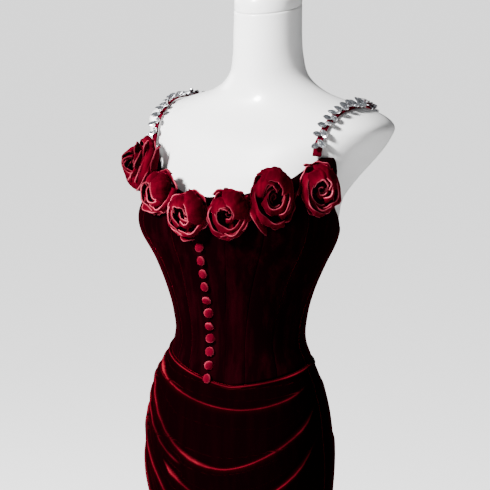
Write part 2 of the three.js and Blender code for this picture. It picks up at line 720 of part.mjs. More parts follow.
function dressForm() {
  const group = new THREE.Group();
  const segments = 32;
  const neck = { y: 42, lean: Math.tan(radians(12)), from: 1440 };
  const inset = (z) => lerp(formInset.low, formInset.high, smooth((z - formInset.from) / (formInset.to - formInset.from)));
  const ring = (z, offset) => Array.from({ length: segments }, (_, i) => {
    const point = figurePoint((i / segments) * 360, z, offset);
    const lean = neck.lean * smooth((z - neck.from) / (heights.neckTop - neck.from));
    point.z += lean * (point.y - neck.y);
    return point;
  });
  const low = heights.formBottom;
  const levels = [
    ...spaced(low + 18, 1200, 11),
    1240, 1280, 1315, 1345, 1368, 1384, 1395, 1406, 1418, 1431, 1450, 1475, 1510, heights.neckTop,
  ];
  const rings = [
    ring(low, -inset(low) - 34),
    ring(low + 5, -inset(low) - 14),
    ...levels.map((z) => ring(z, -inset(z))),
  ];
  group.add(named("form_torso", ringGeometry(rings), formSkin));

  const cap = [
    { z: heights.neckTop + 0.4, taper: 0 },
    { z: heights.neckTop + 20, taper: 0 },
    { z: heights.neckTop + 28, taper: 6 },
    { z: heights.neckTop + 33, taper: 20 },
  ];
  group.add(named("form_neck_cap", ringGeometry(cap.map(({ z, taper }) => ring(z, -formInset.high - taper))), formSkin));
  return group;
}

function stand() {
  const group = new THREE.Group();
  const { baseRadius, baseHeight, poleRadius } = standSize;
  const gap = cloth.seamGap;
  const turned = (outline) => {
    const geometry = new THREE.LatheGeometry(outline.map(([r, z]) => new THREE.Vector2(r, z)), 28);
    geometry.rotateX(Math.PI / 2);
    return geometry;
  };
  const base = turned([[0, 0], [baseRadius, 0], [baseRadius, baseHeight - 5], [baseRadius - 8, baseHeight], [0, baseHeight]]);
  group.add(named("stand_base", base, standPaint));
  const foot = baseHeight + gap;
  const flange = 60;
  const top = heights.formBottom - gap;
  const pole = turned([
    [0, foot], [40, foot], [40, foot + 6], [poleRadius, foot + 26], [poleRadius, top - 30], [flange, top - 12],
    [flange, top], [0, top],
  ]);
  group.add(named("stand_pole", pole, standPaint));
  return group;
}

const gown = new THREE.Group();
gown.add(bodice(), skirt(), hemFlounce(), neckRoses(), frontButtons(), straps(), dressForm(), stand());
export default gown;
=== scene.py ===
# A velvet mermaid gown on a dress form, in metres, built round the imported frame.
import math
import bmesh
import bpy
import numpy as np
from mathutils import Matrix, Vector


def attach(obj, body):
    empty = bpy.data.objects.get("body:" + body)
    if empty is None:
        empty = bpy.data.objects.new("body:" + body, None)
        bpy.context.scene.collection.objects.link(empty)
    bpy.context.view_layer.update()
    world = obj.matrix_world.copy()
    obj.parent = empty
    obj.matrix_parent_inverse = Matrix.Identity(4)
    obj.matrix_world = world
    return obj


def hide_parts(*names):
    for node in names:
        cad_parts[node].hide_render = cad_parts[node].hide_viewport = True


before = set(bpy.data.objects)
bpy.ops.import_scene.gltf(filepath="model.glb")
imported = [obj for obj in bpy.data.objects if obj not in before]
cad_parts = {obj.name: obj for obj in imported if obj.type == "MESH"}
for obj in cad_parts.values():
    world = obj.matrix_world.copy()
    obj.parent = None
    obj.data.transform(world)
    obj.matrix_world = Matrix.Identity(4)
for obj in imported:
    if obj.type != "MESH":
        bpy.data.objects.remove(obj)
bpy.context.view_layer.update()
mm = 0.001  # the tables below are in millimetres, as a pattern gives them

# the figure's sections: the gown's outer face, and above the neckline the form's
figureColumns = ["z", "side", "front", "back", "middle", "shift", "frontPower", "backPower"]
figureRows = [
    (0, 342, 326, 352, 0, 0, 2, 2),
    (80, 312, 292, 312, 0, 0, 2, 2),
    (160, 270, 246, 258, 0, 0, 2, 2),
    (240, 222, 194, 200, 0, 0, 2, 2),
    (320, 177, 148, 150, 0, 0, 2, 2),
    (400, 146, 116, 114, 0, 0, 2, 2),
    (480, 134, 104, 100, 0, 0, 2, 2),
    (560, 136, 106, 103, 0, 0, 2.05, 2.05),
    (700, 147, 113, 112, 0, 0, 2.1, 2.1),
    (780, 151, 116, 117, 0, 0, 2.1, 2.1),
    (849, 156, 119, 121, 0, -2, 2.1, 2.1),
    (900, 152, 116, 117, 0, -3, 2.1, 2.1),
    (940, 146, 112, 107, 0, -3, 2.1, 2.1),
    (981, 134, 105, 97, 0, -4, 2.05, 2.05),
    (1010, 121, 100, 90, 0, -4, 2, 2),
    (1040, 107, 96, 86, 0, -4, 2, 2),
    (1080, 109, 99, 83, 0, -4, 2.05, 2.05),
    (1120, 121, 105, 85, 0, -5, 2.1, 2.1),
    (1160, 138, 113, 88, 0, -5, 2.2, 2.2),
    (1200, 156, 122, 91, 3, -5, 2.35, 2.35),
    (1235, 161, 123, 95, 6, -3, 2.4, 2.4),
    (1265, 161, 112, 101, 12, -1, 2.4, 2.5),
    (1300, 174, 90, 111, 46, 0, 2.42, 2.7),
    (1330, 192, 71, 117, 68, 0, 2.55, 2.9),
    (1360, 209, 52, 120, 78, 0, 2.7, 3),
    (1378, 213, 36, 120, 80, 0, 2.7, 3),
    (1394, 190, 23, 118, 80, 2, 2.45, 2.6),
    (1408, 148, 16, 115, 72, 4, 2.1, 2.1),
    (1423, 102, 13, 111, 62, 6, 1.75, 1.8),
    (1446, 71, 11, 104, 52, 7, 1.8, 1.85),
    (1475, 60, 12, 99, 46, 8, 1.95, 1.95),
    (1505, 57, 13, 97, 43, 8, 2, 2),
    (1600, 55.5, 14, 97, 42, 8, 2, 2),
]
figure = {name: np.array(values, float) for name, values in zip(figureColumns, zip(*figureRows))}
cups = {"angle": 42, "z": 1228, "rise": 14, "halfAngle": 23, "halfHeight": 42}


def smooth(t):
    t = np.clip(t, 0, 1)
    return t * t * (3 - 2 * t)


def bell(x):
    return np.exp(-np.square(x))


def mix(a, b, t):
    return a + (b - a) * t


# a smooth curve through one column of the figure, by height
def sectionAt(name, z):
    knots, values = figure["z"], figure[name]
    slopes = np.empty_like(values)
    slopes[1:-1] = (values[2:] - values[:-2]) / (knots[2:] - knots[:-2])
    slopes[0] = (values[1] - values[0]) / (knots[1] - knots[0])
    slopes[-1] = (values[-1] - values[-2]) / (knots[-1] - knots[-2])
    i = np.clip(np.searchsorted(knots, z, side="left") - 1, 0, len(knots) - 2)
    span = knots[i + 1] - knots[i]
    t = np.clip((z - knots[i]) / span, 0, 1)
    keepLow, keepHigh = (1 + 2 * t) * (1 - t) ** 2, t * t * (3 - 2 * t)
    bendLow, bendHigh = t * (1 - t) ** 2 * span, t * t * (t - 1) * span
    return (keepLow * values[i] + keepHigh * values[i + 1]
            + bendLow * slopes[i] + bendHigh * slopes[i + 1])


# points of the figure, angle 0 at the centre front and growing to the wearer's left
def figurePoint(angle, z, offset=0.0):
    angle, z, offset = np.broadcast_arrays(np.asarray(angle, float), np.asarray(z, float), offset)
    sine, cosine = np.sin(np.radians(angle)), np.cos(np.radians(angle))
    middle, side = sectionAt("middle", z), sectionAt("side", z) + offset
    ahead = cosine > 0
    reach = np.where(ahead, sectionAt("front", z) + middle, sectionAt("back", z) - middle) + offset
    power = np.where(ahead, sectionAt("frontPower", z), sectionAt("backPower", z))
    radius = (np.abs(sine / side) ** power + np.abs(cosine / reach) ** power) ** (-1 / power)
    turned = np.abs((angle + 180) % 360 - 180)
    radius = radius + (cups["rise"] * bell((turned - cups["angle"]) / cups["halfAngle"])
                       * bell((z - cups["z"]) / cups["halfHeight"]))
    return np.stack([sectionAt("shift", z) + radius * sine, middle - radius * cosine, z], -1)


def figureNormal(angle, z):
    step = 0.5
    across = figurePoint(angle + step, z) - figurePoint(angle - step, z)
    up = figurePoint(angle, z + step) - figurePoint(angle, z - step)
    normal = np.cross(across, up)
    return normal / np.linalg.norm(normal, axis=-1, keepdims=True)


# seams and edges of the gown
waist = {"low": 984, "lowAngle": 24, "rightRise": 54, "leftRise": 26, "backRise": 34}
edgeStops = [
    (0, 1270),
    (21, 1274),
    (36, 1286),
    (48, 1304),
    (56, 1334),
    (62, 1334),
    (72, 1300),
    (84, 1268),
    (96, 1230),
    (108, 1206),
    (130, 1198),
    (180, 1192),
]
kneeSeam, hemHeight = 480, 14


def waistSeam(angle):
    turned = (np.asarray(angle, float) - waist["lowAngle"] + 540) % 360 - 180
    rightHand = turned < 0
    rise = np.where(rightHand, waist["rightRise"], waist["leftRise"])
    sideAngle = np.where(rightHand, 90 + waist["lowAngle"], 90 - waist["lowAngle"])
    share = np.abs(turned) / sideAngle
    past = np.clip((np.abs(turned) - sideAngle) / 90, 0, 1)
    front = waist["low"] + rise * share ** 1.25
    back = mix(waist["low"] + rise, waist["low"] + waist["backRise"], smooth(past))
    return np.where(share <= 1, front, back)


def topEdge(angle):
    angles, heights = zip(*edgeStops)
    turned = np.abs((np.asarray(angle, float) + 180) % 360 - 180)
    return np.interp(turned, angles, heights)


# draped folds of the front skirt, gathered at the wearer's right hip
# the last two columns: the angle round which a fold's painted highlight is strongest, and how far that reaches
foldColumns = ["rightSeam", "rightHip", "low", "lowAngle", "leftHip", "leftSeam",
               "rightCurve", "leftCurve", "rise", "start", "end", "roll", "highlightAt", "highlightReach"]
foldRows = [
    (1020, 992, 948, 28, 974, 988, 1.9, 1.85, 4, -90, 84, 3.6, -55, 9),
    (1000, 962, 856, 18, 926, 962, 2.2, 1.75, 5.5, -90, 88, 3.8, -3, 13),
    (978, 930, 846, 0, 900, 930, 1.9, 1.9, 4, -90, -14, 3.6, -19, 6),
    (930, 908, 800, 20, 878, 922, 1.9, 2.2, 5.5, -34, 86, 3.8, -24, 9),
    (950, 878, 706, 12, 800, 850, 1.3, 1.8, 6, -90, 84, 4.2, -70, 6),
    (900, 800, 612, 6, 690, 730, 1.4, 1.7, 6, -90, 70, 4.2, -20, 12),
]
foldHips = {"right": 57, "left": 75}
backFolds = [(985, 905, 2.6), (900, 800, 2.8), (800, 690, 2.6)]  # side z, lowest z, rise
# where on a roll its painted bright line lies, how far its painted glow reaches down, and how much brighter and
# wider the painted highlight is where a fold's line is brightest
folding = {"lineAt": 0.45, "glowReach": 3.2, "glow": (0.45, 0.55), "core": (0.3, 0.6), "width": (0.65, 0.9),
           "startFade": 12, "endFade": 20, "farthest": 12, "backRoll": 8.0}


def foldHeight(fold, angle):
    right, left = foldHips["right"], foldHips["left"]
    low, lowAngle = fold["low"], fold["lowAngle"]
    down = np.clip((lowAngle - angle) / (lowAngle + right), 0, None)
    upLeft = np.clip((angle - lowAngle) / (left - lowAngle), 0, None)
    inner = np.where(angle < lowAngle, mix(low, fold["rightHip"], down ** fold["rightCurve"]),
                     mix(low, fold["leftHip"], upLeft ** fold["leftCurve"]))
    rightPart = mix(fold["rightHip"], fold["rightSeam"], (-angle - right) / (90 - right))
    leftPart = mix(fold["leftHip"], fold["leftSeam"], (angle - left) / (90 - left))
    return np.where(angle <= -right, rightPart, np.where(angle >= left, leftPart, inner))


# distance above a fold's line, square to it, in mm
def foldDistance(fold, angle, z):
    slope = (foldHeight(fold, angle + 0.5) - foldHeight(fold, angle - 0.5)) / 2.4
    return (z - foldHeight(fold, angle)) / np.sqrt(1 + np.square(np.clip(slope, -2.2, 2.2)))


# the cloth tucks in sharply above a fold's line, rolls over it and dies away below
def foldShape(above, roll, fall=25.0):
    upper = np.clip(1 - np.square(above / roll), 0, 1) ** 0.75 - 0.07 * bell((above - roll - 1) / 4)
    lower = np.exp(-np.clip(-above / fall, 0, None) ** 1.35)
    return np.where(above > 0, upper, lower)


# rise of the draped cloth, and the painted highlights along its ridges: distance above the nearest, its weight and
# width, the glow
def drape(angle, z):
    angle, z = np.broadcast_arrays(np.asarray(angle, float), np.asarray(z, float))
    rise, glow, lines = np.zeros(z.shape), np.zeros(z.shape), []

    def addFold(above, weight, lift, roll, extraHighlight=0.0):
        nonlocal rise, glow
        ripple = 1 + 0.05 * np.sin(angle * 0.9 + z * 0.11) + 0.04 * np.sin(angle * 0.43 - z * 0.06)
        rise = rise + lift * weight * ripple * foldShape(above, roll)
        line = above - roll * folding["lineAt"]
        bright, thin, wide = (folding[key][0] + folding[key][1] * extraHighlight for key in ("glow", "core", "width"))
        glow = np.maximum(glow, glowBelow(line, folding["glowReach"]) * weight * bright)
        away = folding["farthest"] * (weight < 0.02)
        lines.append((line + away, weight * thin, wide + 0 * z))

    front = np.abs(angle) <= 90
    for row in foldRows:
        fold = dict(zip(foldColumns, row))
        ends = (smooth((angle - fold["start"]) / folding["startFade"])
                * smooth((fold["end"] - angle) / folding["endFade"]))
        # painted highlight: each fold's bright line is brighter and wider round one angle
        extraHighlight = bell((angle - fold["highlightAt"]) / fold["highlightReach"])
        addFold(foldDistance(fold, angle, z), ends * front, fold["rise"], fold["roll"], extraHighlight)
    share = (np.abs(angle) - 90) / 90
    for sideZ, lowZ, lift in backFolds:
        ridge = mix(sideZ, lowZ, smooth(share))
        addFold(z - ridge, smooth(share * 2.5) * ~front, lift, folding["backRoll"])
    return rise, glow, lines


def glowBelow(above, width):
    return np.where(above > 0, bell(above / 1.1), np.exp(-np.clip(-above / width, 0, None) ** 1.2))


# the nearest painted highlight line of several, faded where two are as near, so that no line shows between them
def nearestLine(lines):
    above, weight, width = (np.stack([line[i] for line in lines]) for i in range(3))
    order = np.argsort(np.abs(above), axis=0)
    near, weight, width = (np.take_along_axis(table, order[:1], 0)[0] for table in (above, weight, width))
    second = np.abs(np.take_along_axis(above, order[1:2], 0)[0])
    clear = smooth((second - np.abs(near)) / 3.5)
    close = smooth((5.0 - np.abs(near)) / 2.0) * (second < 9.0)  # both lines of a narrow pair stay
    far = folding["farthest"]
    return np.clip(near, -far, far), weight * np.maximum(clear, close), width


def ridgeMarks(above, weight, width, glow):
    return {"ridgeAbove": above, "ridgeCore": weight, "ridgeWidth": width, "ridgeGlow": glow}


def drapeRise(angle, z):
    return drape(angle, z)[0]


# meshes from grids of points
def makeMesh(name, points, faces, material, smoothFaces=True, marks=None):
    mesh = bpy.data.meshes.new(name)
    mesh.from_pydata([tuple(p) for p in np.asarray(points) * mm], [], faces)
    mesh.validate()
    mesh.update()
    for key, values in (marks or {}).items():
        attribute = mesh.attributes.new(key, "FLOAT", "POINT")
        attribute.data.foreach_set("value", np.asarray(values, np.float32).ravel())
    if smoothFaces:
        mesh.shade_smooth()
    mesh.materials.append(material)
    piece = bpy.data.objects.new(name, mesh)
    bpy.context.scene.collection.objects.link(piece)
    return piece


def gridFaces(rows, columns, start=0, turned=False):
    i, j = np.meshgrid(np.arange(rows - 1), np.arange(columns - 1), indexing="ij")
    a = start + i * columns + j
    quads = np.stack([a, a + 1, a + columns + 1, a + columns], -1).reshape(-1, 4)
    return quads[:, ::-1] if turned else quads


def rimOf(table):
    return np.concatenate([table[0, :-1], table[:-1, -1], table[-1, :0:-1], table[:0:-1, 0]]).tolist()


# points and faces of a closed shell; the inner grid may skip points of the outer one
def shellParts(outer, inner, start=0, stride=1):
    rows, columns = outer.shape[:2]
    count = rows * columns
    points = np.concatenate([outer.reshape(-1, 3), inner.reshape(-1, 3)])
    faces = gridFaces(rows, columns, start).tolist()
    faces += gridFaces(*inner.shape[:2], start + count, True).tolist()
    outerRim = rimOf(start + np.arange(count).reshape(rows, columns))
    innerRim = rimOf(start + count + np.arange(inner.size // 3).reshape(inner.shape[:2]))
    for k, corner in enumerate(innerRim):
        edge = [outerRim[(k * stride + step) % len(outerRim)] for step in range(stride, -1, -1)]
        faces.append(edge + [corner, innerRim[(k + 1) % len(innerRim)]])
    return points, faces


# a shell of one thickness, from the grid of its middle face
def sheetParts(grid, thickness, start=0):
    across = np.gradient(grid, axis=1)
    along = np.gradient(grid, axis=0)
    normal = np.cross(across, along)
    normal = normal / np.maximum(np.linalg.norm(normal, axis=-1, keepdims=True), 1e-9)
    half = normal * np.asarray(thickness)[..., None] / 2 if np.ndim(thickness) else normal * thickness / 2
    return shellParts(grid + half, grid - half, start)


# how much flat cloth a grid holds, in square metres
def gridArea(grid):
    a, b, c, d = grid[:-1, :-1], grid[:-1, 1:], grid[1:, 1:], grid[1:, :-1]
    area = np.linalg.norm(np.cross(c - a, d - b), axis=-1) / 2
    return float(area.sum()) * mm * mm


# faces round a stack of rings; closed joins the last ring to the first
def tubeFaces(rings, count, closed=False):
    faces = []
    for k in range(rings if closed else rings - 1):
        low, high = k * count, (k + 1) % rings * count
        for i in range(count):
            j = (i + 1) % count
            faces.append((low + i, low + j, high + j, high + i))
    return faces


# shader and group helpers
def newMaterial(name):
    material = bpy.data.materials.new(name)
    material.use_nodes = True
    tree = material.node_tree
    return material, tree, tree.nodes["Principled BSDF"]


def addNode(tree, kind, **values):
    node = tree.nodes.new(kind)
    for key, value in values.items():
        if key in node.inputs:
            node.inputs[key].default_value = value
        else:
            setattr(node, key, value)
    return node


def addSockets(group, way, kind, values):
    for name, value in values.items():
        socket = group.interface.new_socket(name=name, in_out=way, socket_type="NodeSocket" + kind)
        if value is not None:
            socket.default_value = value


def newGroup(name, kind="ShaderNodeTree"):
    group = bpy.data.node_groups.new(name, kind)
    return group, group.nodes.new("NodeGroupInput"), group.nodes.new("NodeGroupOutput"), group.links.new


def mapRange(tree, value, fromMin=0.0, fromMax=1.0, toMin=0.0, toMax=1.0):
    node = addNode(tree, "ShaderNodeMapRange")
    for name, level in (("From Min", fromMin), ("From Max", fromMax), ("To Min", toMin), ("To Max", toMax)):
        node.inputs[name].default_value = level
    tree.links.new(value, node.inputs["Value"])
    return node


# nap: fine pile grain and broad brushed patches, as masks and a bumped normal
def buildNap():
    group, inlet, outlet, link = newGroup("velvetNap")
    addSockets(group, "INPUT", "Float", {"pileScale": 1400.0, "patchScale": 22.0, "pileDepth": 0.25,
                                         "patchDepth": 0.4})
    addSockets(group, "OUTPUT", "Float", {"pile": None})
    addSockets(group, "OUTPUT", "Vector", {"normal": None})
    place = group.nodes.new("ShaderNodeTexCoord")
    pile = addNode(group, "ShaderNodeTexNoise", Detail=3.0, Roughness=0.6)
    patch = addNode(group, "ShaderNodeTexNoise", Detail=4.0, Roughness=0.55, Distortion=0.6)
    coarse = addNode(group, "ShaderNodeBump", Distance=0.002)
    fine = addNode(group, "ShaderNodeBump", Distance=0.0004)
    for texture, bump, name in ((pile, fine, "pile"), (patch, coarse, "patch")):
        link(place.outputs["Object"], texture.inputs["Vector"])
        link(inlet.outputs[name + "Scale"], texture.inputs["Scale"])
        link(inlet.outputs[name + "Depth"], bump.inputs["Strength"])
        link(texture.outputs["Fac"], bump.inputs["Height"])
    link(coarse.outputs["Normal"], fine.inputs["Normal"])
    link(pile.outputs["Fac"], outlet.inputs["pile"])
    link(fine.outputs["Normal"], outlet.inputs["normal"])
    return group


nap = buildNap()


# painted highlights on ridges and folded rims, as marked on the mesh: a thin bright core line and a glow, made
# uneven by noise
def buildRidgeHighlight():
    group, inlet, outlet, link = newGroup("paintedRidgeHighlight")
    addSockets(group, "INPUT", "Float", {"unevenScale": 14.0, "least": 0.35, "coreGain": 1.0, "glowGain": 1.0})
    addSockets(group, "OUTPUT", "Float", {"core": None, "glow": None})
    place = group.nodes.new("ShaderNodeTexCoord")
    uneven = addNode(group, "ShaderNodeTexNoise", Detail=3.0)
    level = mapRange(group, uneven.outputs["Fac"], 0.38, 0.62)
    link(place.outputs["Object"], uneven.inputs["Vector"])
    link(inlet.outputs["unevenScale"], uneven.inputs["Scale"])
    link(inlet.outputs["least"], level.inputs["To Min"])
    marks = {name: addNode(group, "ShaderNodeAttribute", attribute_name="ridge" + name).outputs["Fac"]
             for name in ("Above", "Width", "Core", "Glow")}

    def combine(operation, first, second=None, clamp=False):
        node = addNode(group, "ShaderNodeMath", operation=operation, use_clamp=clamp)
        for socket, value in zip(node.inputs, (first, second)):
            if isinstance(value, float):
                socket.default_value = value
            elif value is not None:
                link(value, socket)
        return node.outputs[0]

    ratio = combine("DIVIDE", marks["Above"], marks["Width"])
    line = combine("EXPONENT", combine("MULTIPLY", combine("MULTIPLY", ratio, ratio), -1.0))
    for name, strength in (("core", combine("MULTIPLY", line, marks["Core"])), ("glow", marks["Glow"])):
        gained = combine("MULTIPLY", strength, inlet.outputs[name + "Gain"])
        link(combine("MULTIPLY", gained, level.outputs["Result"], True), outlet.inputs[name])
    return group


# long streaks where the pile was brushed downward
def buildStreaks():
    group, inlet, outlet, link = newGroup("brushedStreaks")
    addSockets(group, "INPUT", "Float", {"streakScale": 70.0})
    addSockets(group, "OUTPUT", "Float", {"streaks": None})
    place = group.nodes.new("ShaderNodeTexCoord")
    stretched = group.nodes.new("ShaderNodeMapping")
    stretched.inputs["Scale"].default_value = (1.0, 1.0, 0.045)
    noise = addNode(group, "ShaderNodeTexNoise", Detail=3.0, Roughness=0.6)
    sharper = mapRange(group, noise.outputs["Fac"], 0.46, 0.72)
    link(place.outputs["Object"], stretched.inputs["Vector"])
    link(stretched.outputs["Vector"], noise.inputs["Vector"])
    link(inlet.outputs["streakScale"], noise.inputs["Scale"])
    link(sharper.outputs["Result"], outlet.inputs["streaks"])
    return group


ridgeHighlightGroup, streakGroup = buildRidgeHighlight(), buildStreaks()


def mixColours(tree, factor, low, high):
    tone = addNode(tree, "ShaderNodeMix", data_type="RGBA")
    tree.links.new(factor, tone.inputs[0])
    for socket, colour in ((tone.inputs[6], low), (tone.inputs[7], high)):
        if isinstance(colour, tuple):
            socket.default_value = (*colour, 1)
        else:
            tree.links.new(colour, socket)
    return tone.outputs[2]


def velvetMaterial(name, dark, light, glow, core, sheen, sheenTint, sheenRoughness, patchScale=22.0, least=0.35):
    material, tree, shader = newMaterial(name)
    pattern, streaks, ridge = (addNode(tree, "ShaderNodeGroup", node_tree=group)
                               for group in (nap, streakGroup, ridgeHighlightGroup))
    pattern.inputs["patchScale"].default_value = patchScale
    ridge.inputs["least"].default_value = least
    ground = mixColours(tree, streaks.outputs["streaks"], dark, light)
    # painted highlight: the glow colour and then the core colour are laid over the pile tones where the mesh marks
    # ridges and rims
    glowing = mixColours(tree, ridge.outputs["glow"], ground, glow)
    tree.links.new(mixColours(tree, ridge.outputs["core"], glowing, core), shader.inputs["Base Color"])
    rough = mapRange(tree, pattern.outputs["pile"], toMin=0.8)
    tree.links.new(rough.outputs["Result"], shader.inputs["Roughness"])
    tree.links.new(pattern.outputs["normal"], shader.inputs["Normal"])
    shader.inputs["Specular IOR Level"].default_value = 0.0
    shader.inputs["Sheen Weight"].default_value = sheen
    shader.inputs["Sheen Roughness"].default_value = sheenRoughness
    shader.inputs["Sheen Tint"].default_value = (*sheenTint, 1)
    return material


# each velvet: dark and light pile tones, the painted highlight's glow and core colours, then sheen weight, tint and
# roughness
bodiceVelvet = velvetMaterial("bodiceVelvet", (0.0022, 0.0001, 0.0004), (0.0075, 0.0002, 0.0010),
                              (0.05, 0.0006, 0.002), (0.12, 0.005, 0.01), 0.16, (0.8, 0.01, 0.05), 0.24)
velvet = velvetMaterial("velvet", (0.0018, 0.0001, 0.0003), (0.0028, 0.0001, 0.0004), (0.024, 0.0002, 0.001),
                        (0.27, 0.009, 0.022), 0.12, (0.8, 0.01, 0.05), 0.2)
roseVelvet = velvetMaterial("roseVelvet", (0.026, 0.0002, 0.0020), (0.070, 0.0007, 0.0050), (0.10, 0.0012, 0.0080),
                            (0.46, 0.06, 0.10), 0.34, (0.95, 0.04, 0.12), 0.25, patchScale=60.0, least=0.12)
trimVelvet = velvetMaterial("trimVelvet", (0.045, 0.0005, 0.004), (0.075, 0.001, 0.007), (0.12, 0.002, 0.011),
                            (0.34, 0.04, 0.07), 0.30, (0.95, 0.04, 0.10), 0.3, patchScale=60.0, least=0.5)


def plainMaterial(name, low, high, roughness, noiseScale, metallic=0.0, coat=0.0, bump=0.02):
    material, tree, shader = newMaterial(name)
    place = tree.nodes.new("ShaderNodeTexCoord")
    noise = addNode(tree, "ShaderNodeTexNoise", Scale=noiseScale, Detail=4.0)
    tree.links.new(place.outputs["Object"], noise.inputs["Vector"])
    rough = mapRange(tree, noise.outputs["Fac"], toMin=roughness[0], toMax=roughness[1])
    relief = addNode(tree, "ShaderNodeBump", Strength=bump, Distance=0.0005)
    tree.links.new(noise.outputs["Fac"], relief.inputs["Height"])
    tree.links.new(mixColours(tree, noise.outputs["Fac"], low, high), shader.inputs["Base Color"])
    tree.links.new(rough.outputs["Result"], shader.inputs["Roughness"])
    tree.links.new(relief.outputs["Normal"], shader.inputs["Normal"])
    shader.inputs["Metallic"].default_value = metallic
    shader.inputs["Coat Weight"].default_value = coat
    shader.inputs["Coat Roughness"].default_value = 0.12
    return material


formGloss = plainMaterial("formGloss", (0.86, 0.855, 0.85), (0.9, 0.895, 0.89), (0.3, 0.42), 6.0, coat=0.3)
standPaint = plainMaterial("standPaint", (0.78, 0.78, 0.78), (0.84, 0.84, 0.84), (0.35, 0.5), 40.0, coat=0.1)
silver = plainMaterial("silver", (0.86, 0.87, 0.89), (0.97, 0.97, 0.98), (0.14, 0.3), 300.0, metallic=1.0)
stone = plainMaterial("stone", (0.12, 0.13, 0.15), (0.62, 0.64, 0.68), (0.02, 0.08), 200.0, metallic=0.9, coat=0.6)
print("materials ready")


def finishPiece(piece, slot, *nodes):
    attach(piece, "root")
    if nodes:
        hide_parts(*nodes)


# bodice panels, each with its edges turned in at the seams
bodice = {"size": (26, 84), "lining": 2.4, "seamGap": 0.08, "seamDip": 0.7, "seamWidth": 2.2, "puckers": 0.1,
          "waistTuck": 1.2, "wrinkles": 0.5, "topTurn": 0.8, "fullness": 1.35}
bodiceSeams = [(0, 0), (21, 19), (43, 36), (67, 61), (98, 90), (138, 138), (180, 180)]  # bust, waist
closure = (1.5, 4)
panelNames = ["centre_front", "front", "side_front", "side", "side_back", "back"]


def lean(seam, z):
    return mix(seam[1], seam[0], smooth((z - 1040) / 160))


def panelGrid(near, far, columns, rows, rowsAt, place, gap):
    share = np.linspace(0, 1, columns)[None, :]
    level = np.linspace(0, 1, rows)[:, None]
    angle = mix(near(1200.0), far(1200.0), share) + 0 * level
    for _ in range(4):
        z = rowsAt(angle, level)
        angle = mix(near(z), far(z), share)
    z = rowsAt(angle, level)
    radius = np.linalg.norm(figurePoint(angle, z)[..., :2], axis=-1)
    trim = np.degrees(gap / 2 / radius)
    width = far(z) - near(z)
    angle = near(z) + trim + (width - 2 * trim) * share
    edge = np.minimum(angle - near(z), far(z) - angle) * np.radians(1) * radius
    return place(angle, z, edge), angle, z


# a panel between two seams: its outer face, a lining that meets the next one, and the marks of its ridges
def makePanel(name, near, far, size, rowsAt, place, lining, gap, material, stride=1, marksAt=None):
    columns, rows = size
    outer, angle, z = panelGrid(near, far, columns, rows, rowsAt, place, gap)
    inner, _, _ = panelGrid(near, far, (columns - 1) // stride + 1, (rows - 1) // stride + 1, rowsAt, lining, 0)
    points, faces = shellParts(outer, inner, 0, stride)
    marks = {key: np.concatenate([table.ravel(), table[::stride, ::stride].ravel()])
             for key, table in (marksAt(angle, z) if marksAt else {}).items()}
    piece = makeMesh(name + "_cloth", points, faces, material, marks=marks)
    finishPiece(piece, "velvet", name)
    return piece, outer


def bodiceRows(angle, level):
    return mix(waistSeam(angle) + 0.15, topEdge(angle), level)


def bodicePlace(angle, z, edge):
    dip = bodice["seamDip"] * bell(edge / bodice["seamWidth"])
    pucker = bodice["puckers"] * np.sin(z / 2.9 + angle * 0.3) * bell(edge / 7.0)
    tucked = bodice["waistTuck"] * bell((z - waistSeam(angle)) / 5.0)
    beside = bell((z - 1042) / 34) * bell((np.abs(angle) - 70) / 45)  # at the sides of the waist
    wrinkle = bodice["wrinkles"] * np.sin(z / 8.5 + angle / 9.0) * beside
    top = bodice["topTurn"] * bell((topEdge(angle) - z) / 2.2)
    return figurePoint(angle, z, -dip + pucker - tucked + wrinkle - top)


def makeBodice():
    for label, turn in (("left", 1), ("right", -1)):
        for i, panelName in enumerate(panelNames):
            def seamAngle(k, z, turn=turn):
                base = turn * lean(bodiceSeams[k], z)
                return base + lean(closure, z) if k == 0 else base

            def near(z, i=i):
                return seamAngle(i if turn > 0 else i + 1, z)

            def far(z, i=i):
                return seamAngle(i + 1 if turn > 0 else i, z)

            piece, outer = makePanel(f"bodice_{panelName}_{label}", near, far, bodice["size"], bodiceRows,
                                     bodicePlace, lambda a, z, e: figurePoint(a, z, -bodice["lining"]),
                                     bodice["seamGap"], bodiceVelvet)


makeBodice()
print("bodice ready")

# skirt: a draped front and two plain back panels
skirt = {"frontSize": (241, 281), "backSize": (61, 149), "stride": 4, "lining": 2.6, "seamGap": 0.06,
         "rollRise": 2.6, "rollWidth": 3.4, "length": 0.56, "fullness": 1.2}


def wrapAngle(angle):
    return (angle + 180) % 360 - 180


def skirtRows(angle, level):
    return mix(kneeSeam + 0.15, waistSeam(angle) - 0.15, level)


def skirtPlace(angle, z, edge):
    flat = wrapAngle(angle)
    roll = skirt["rollRise"] * bell((waistSeam(flat) - z - 2.0) / skirt["rollWidth"])
    dip = 0.9 * bell(edge / 3.0)
    hem = 0.8 * bell((z - kneeSeam) / 3.5)
    return figurePoint(angle, z, drapeRise(flat, z) + roll - dip - hem)


def skirtLining(angle, z, edge):
    return figurePoint(angle, z, np.clip(drapeRise(wrapAngle(angle), z), -1, None) * 0.8 - skirt["lining"])


# how bright the painted highlight along the waist seam is: most near the left hip, least behind the last button and
# at the back
def seamHighlightLevel(angle):
    level = 0.62 + 0.5 * bell((angle - 72) / 9)
    return level * (1 - 0.85 * smooth((np.abs(angle) - 84) / 10)) * (1 - 0.85 * bell((angle - 4) / 3.5))


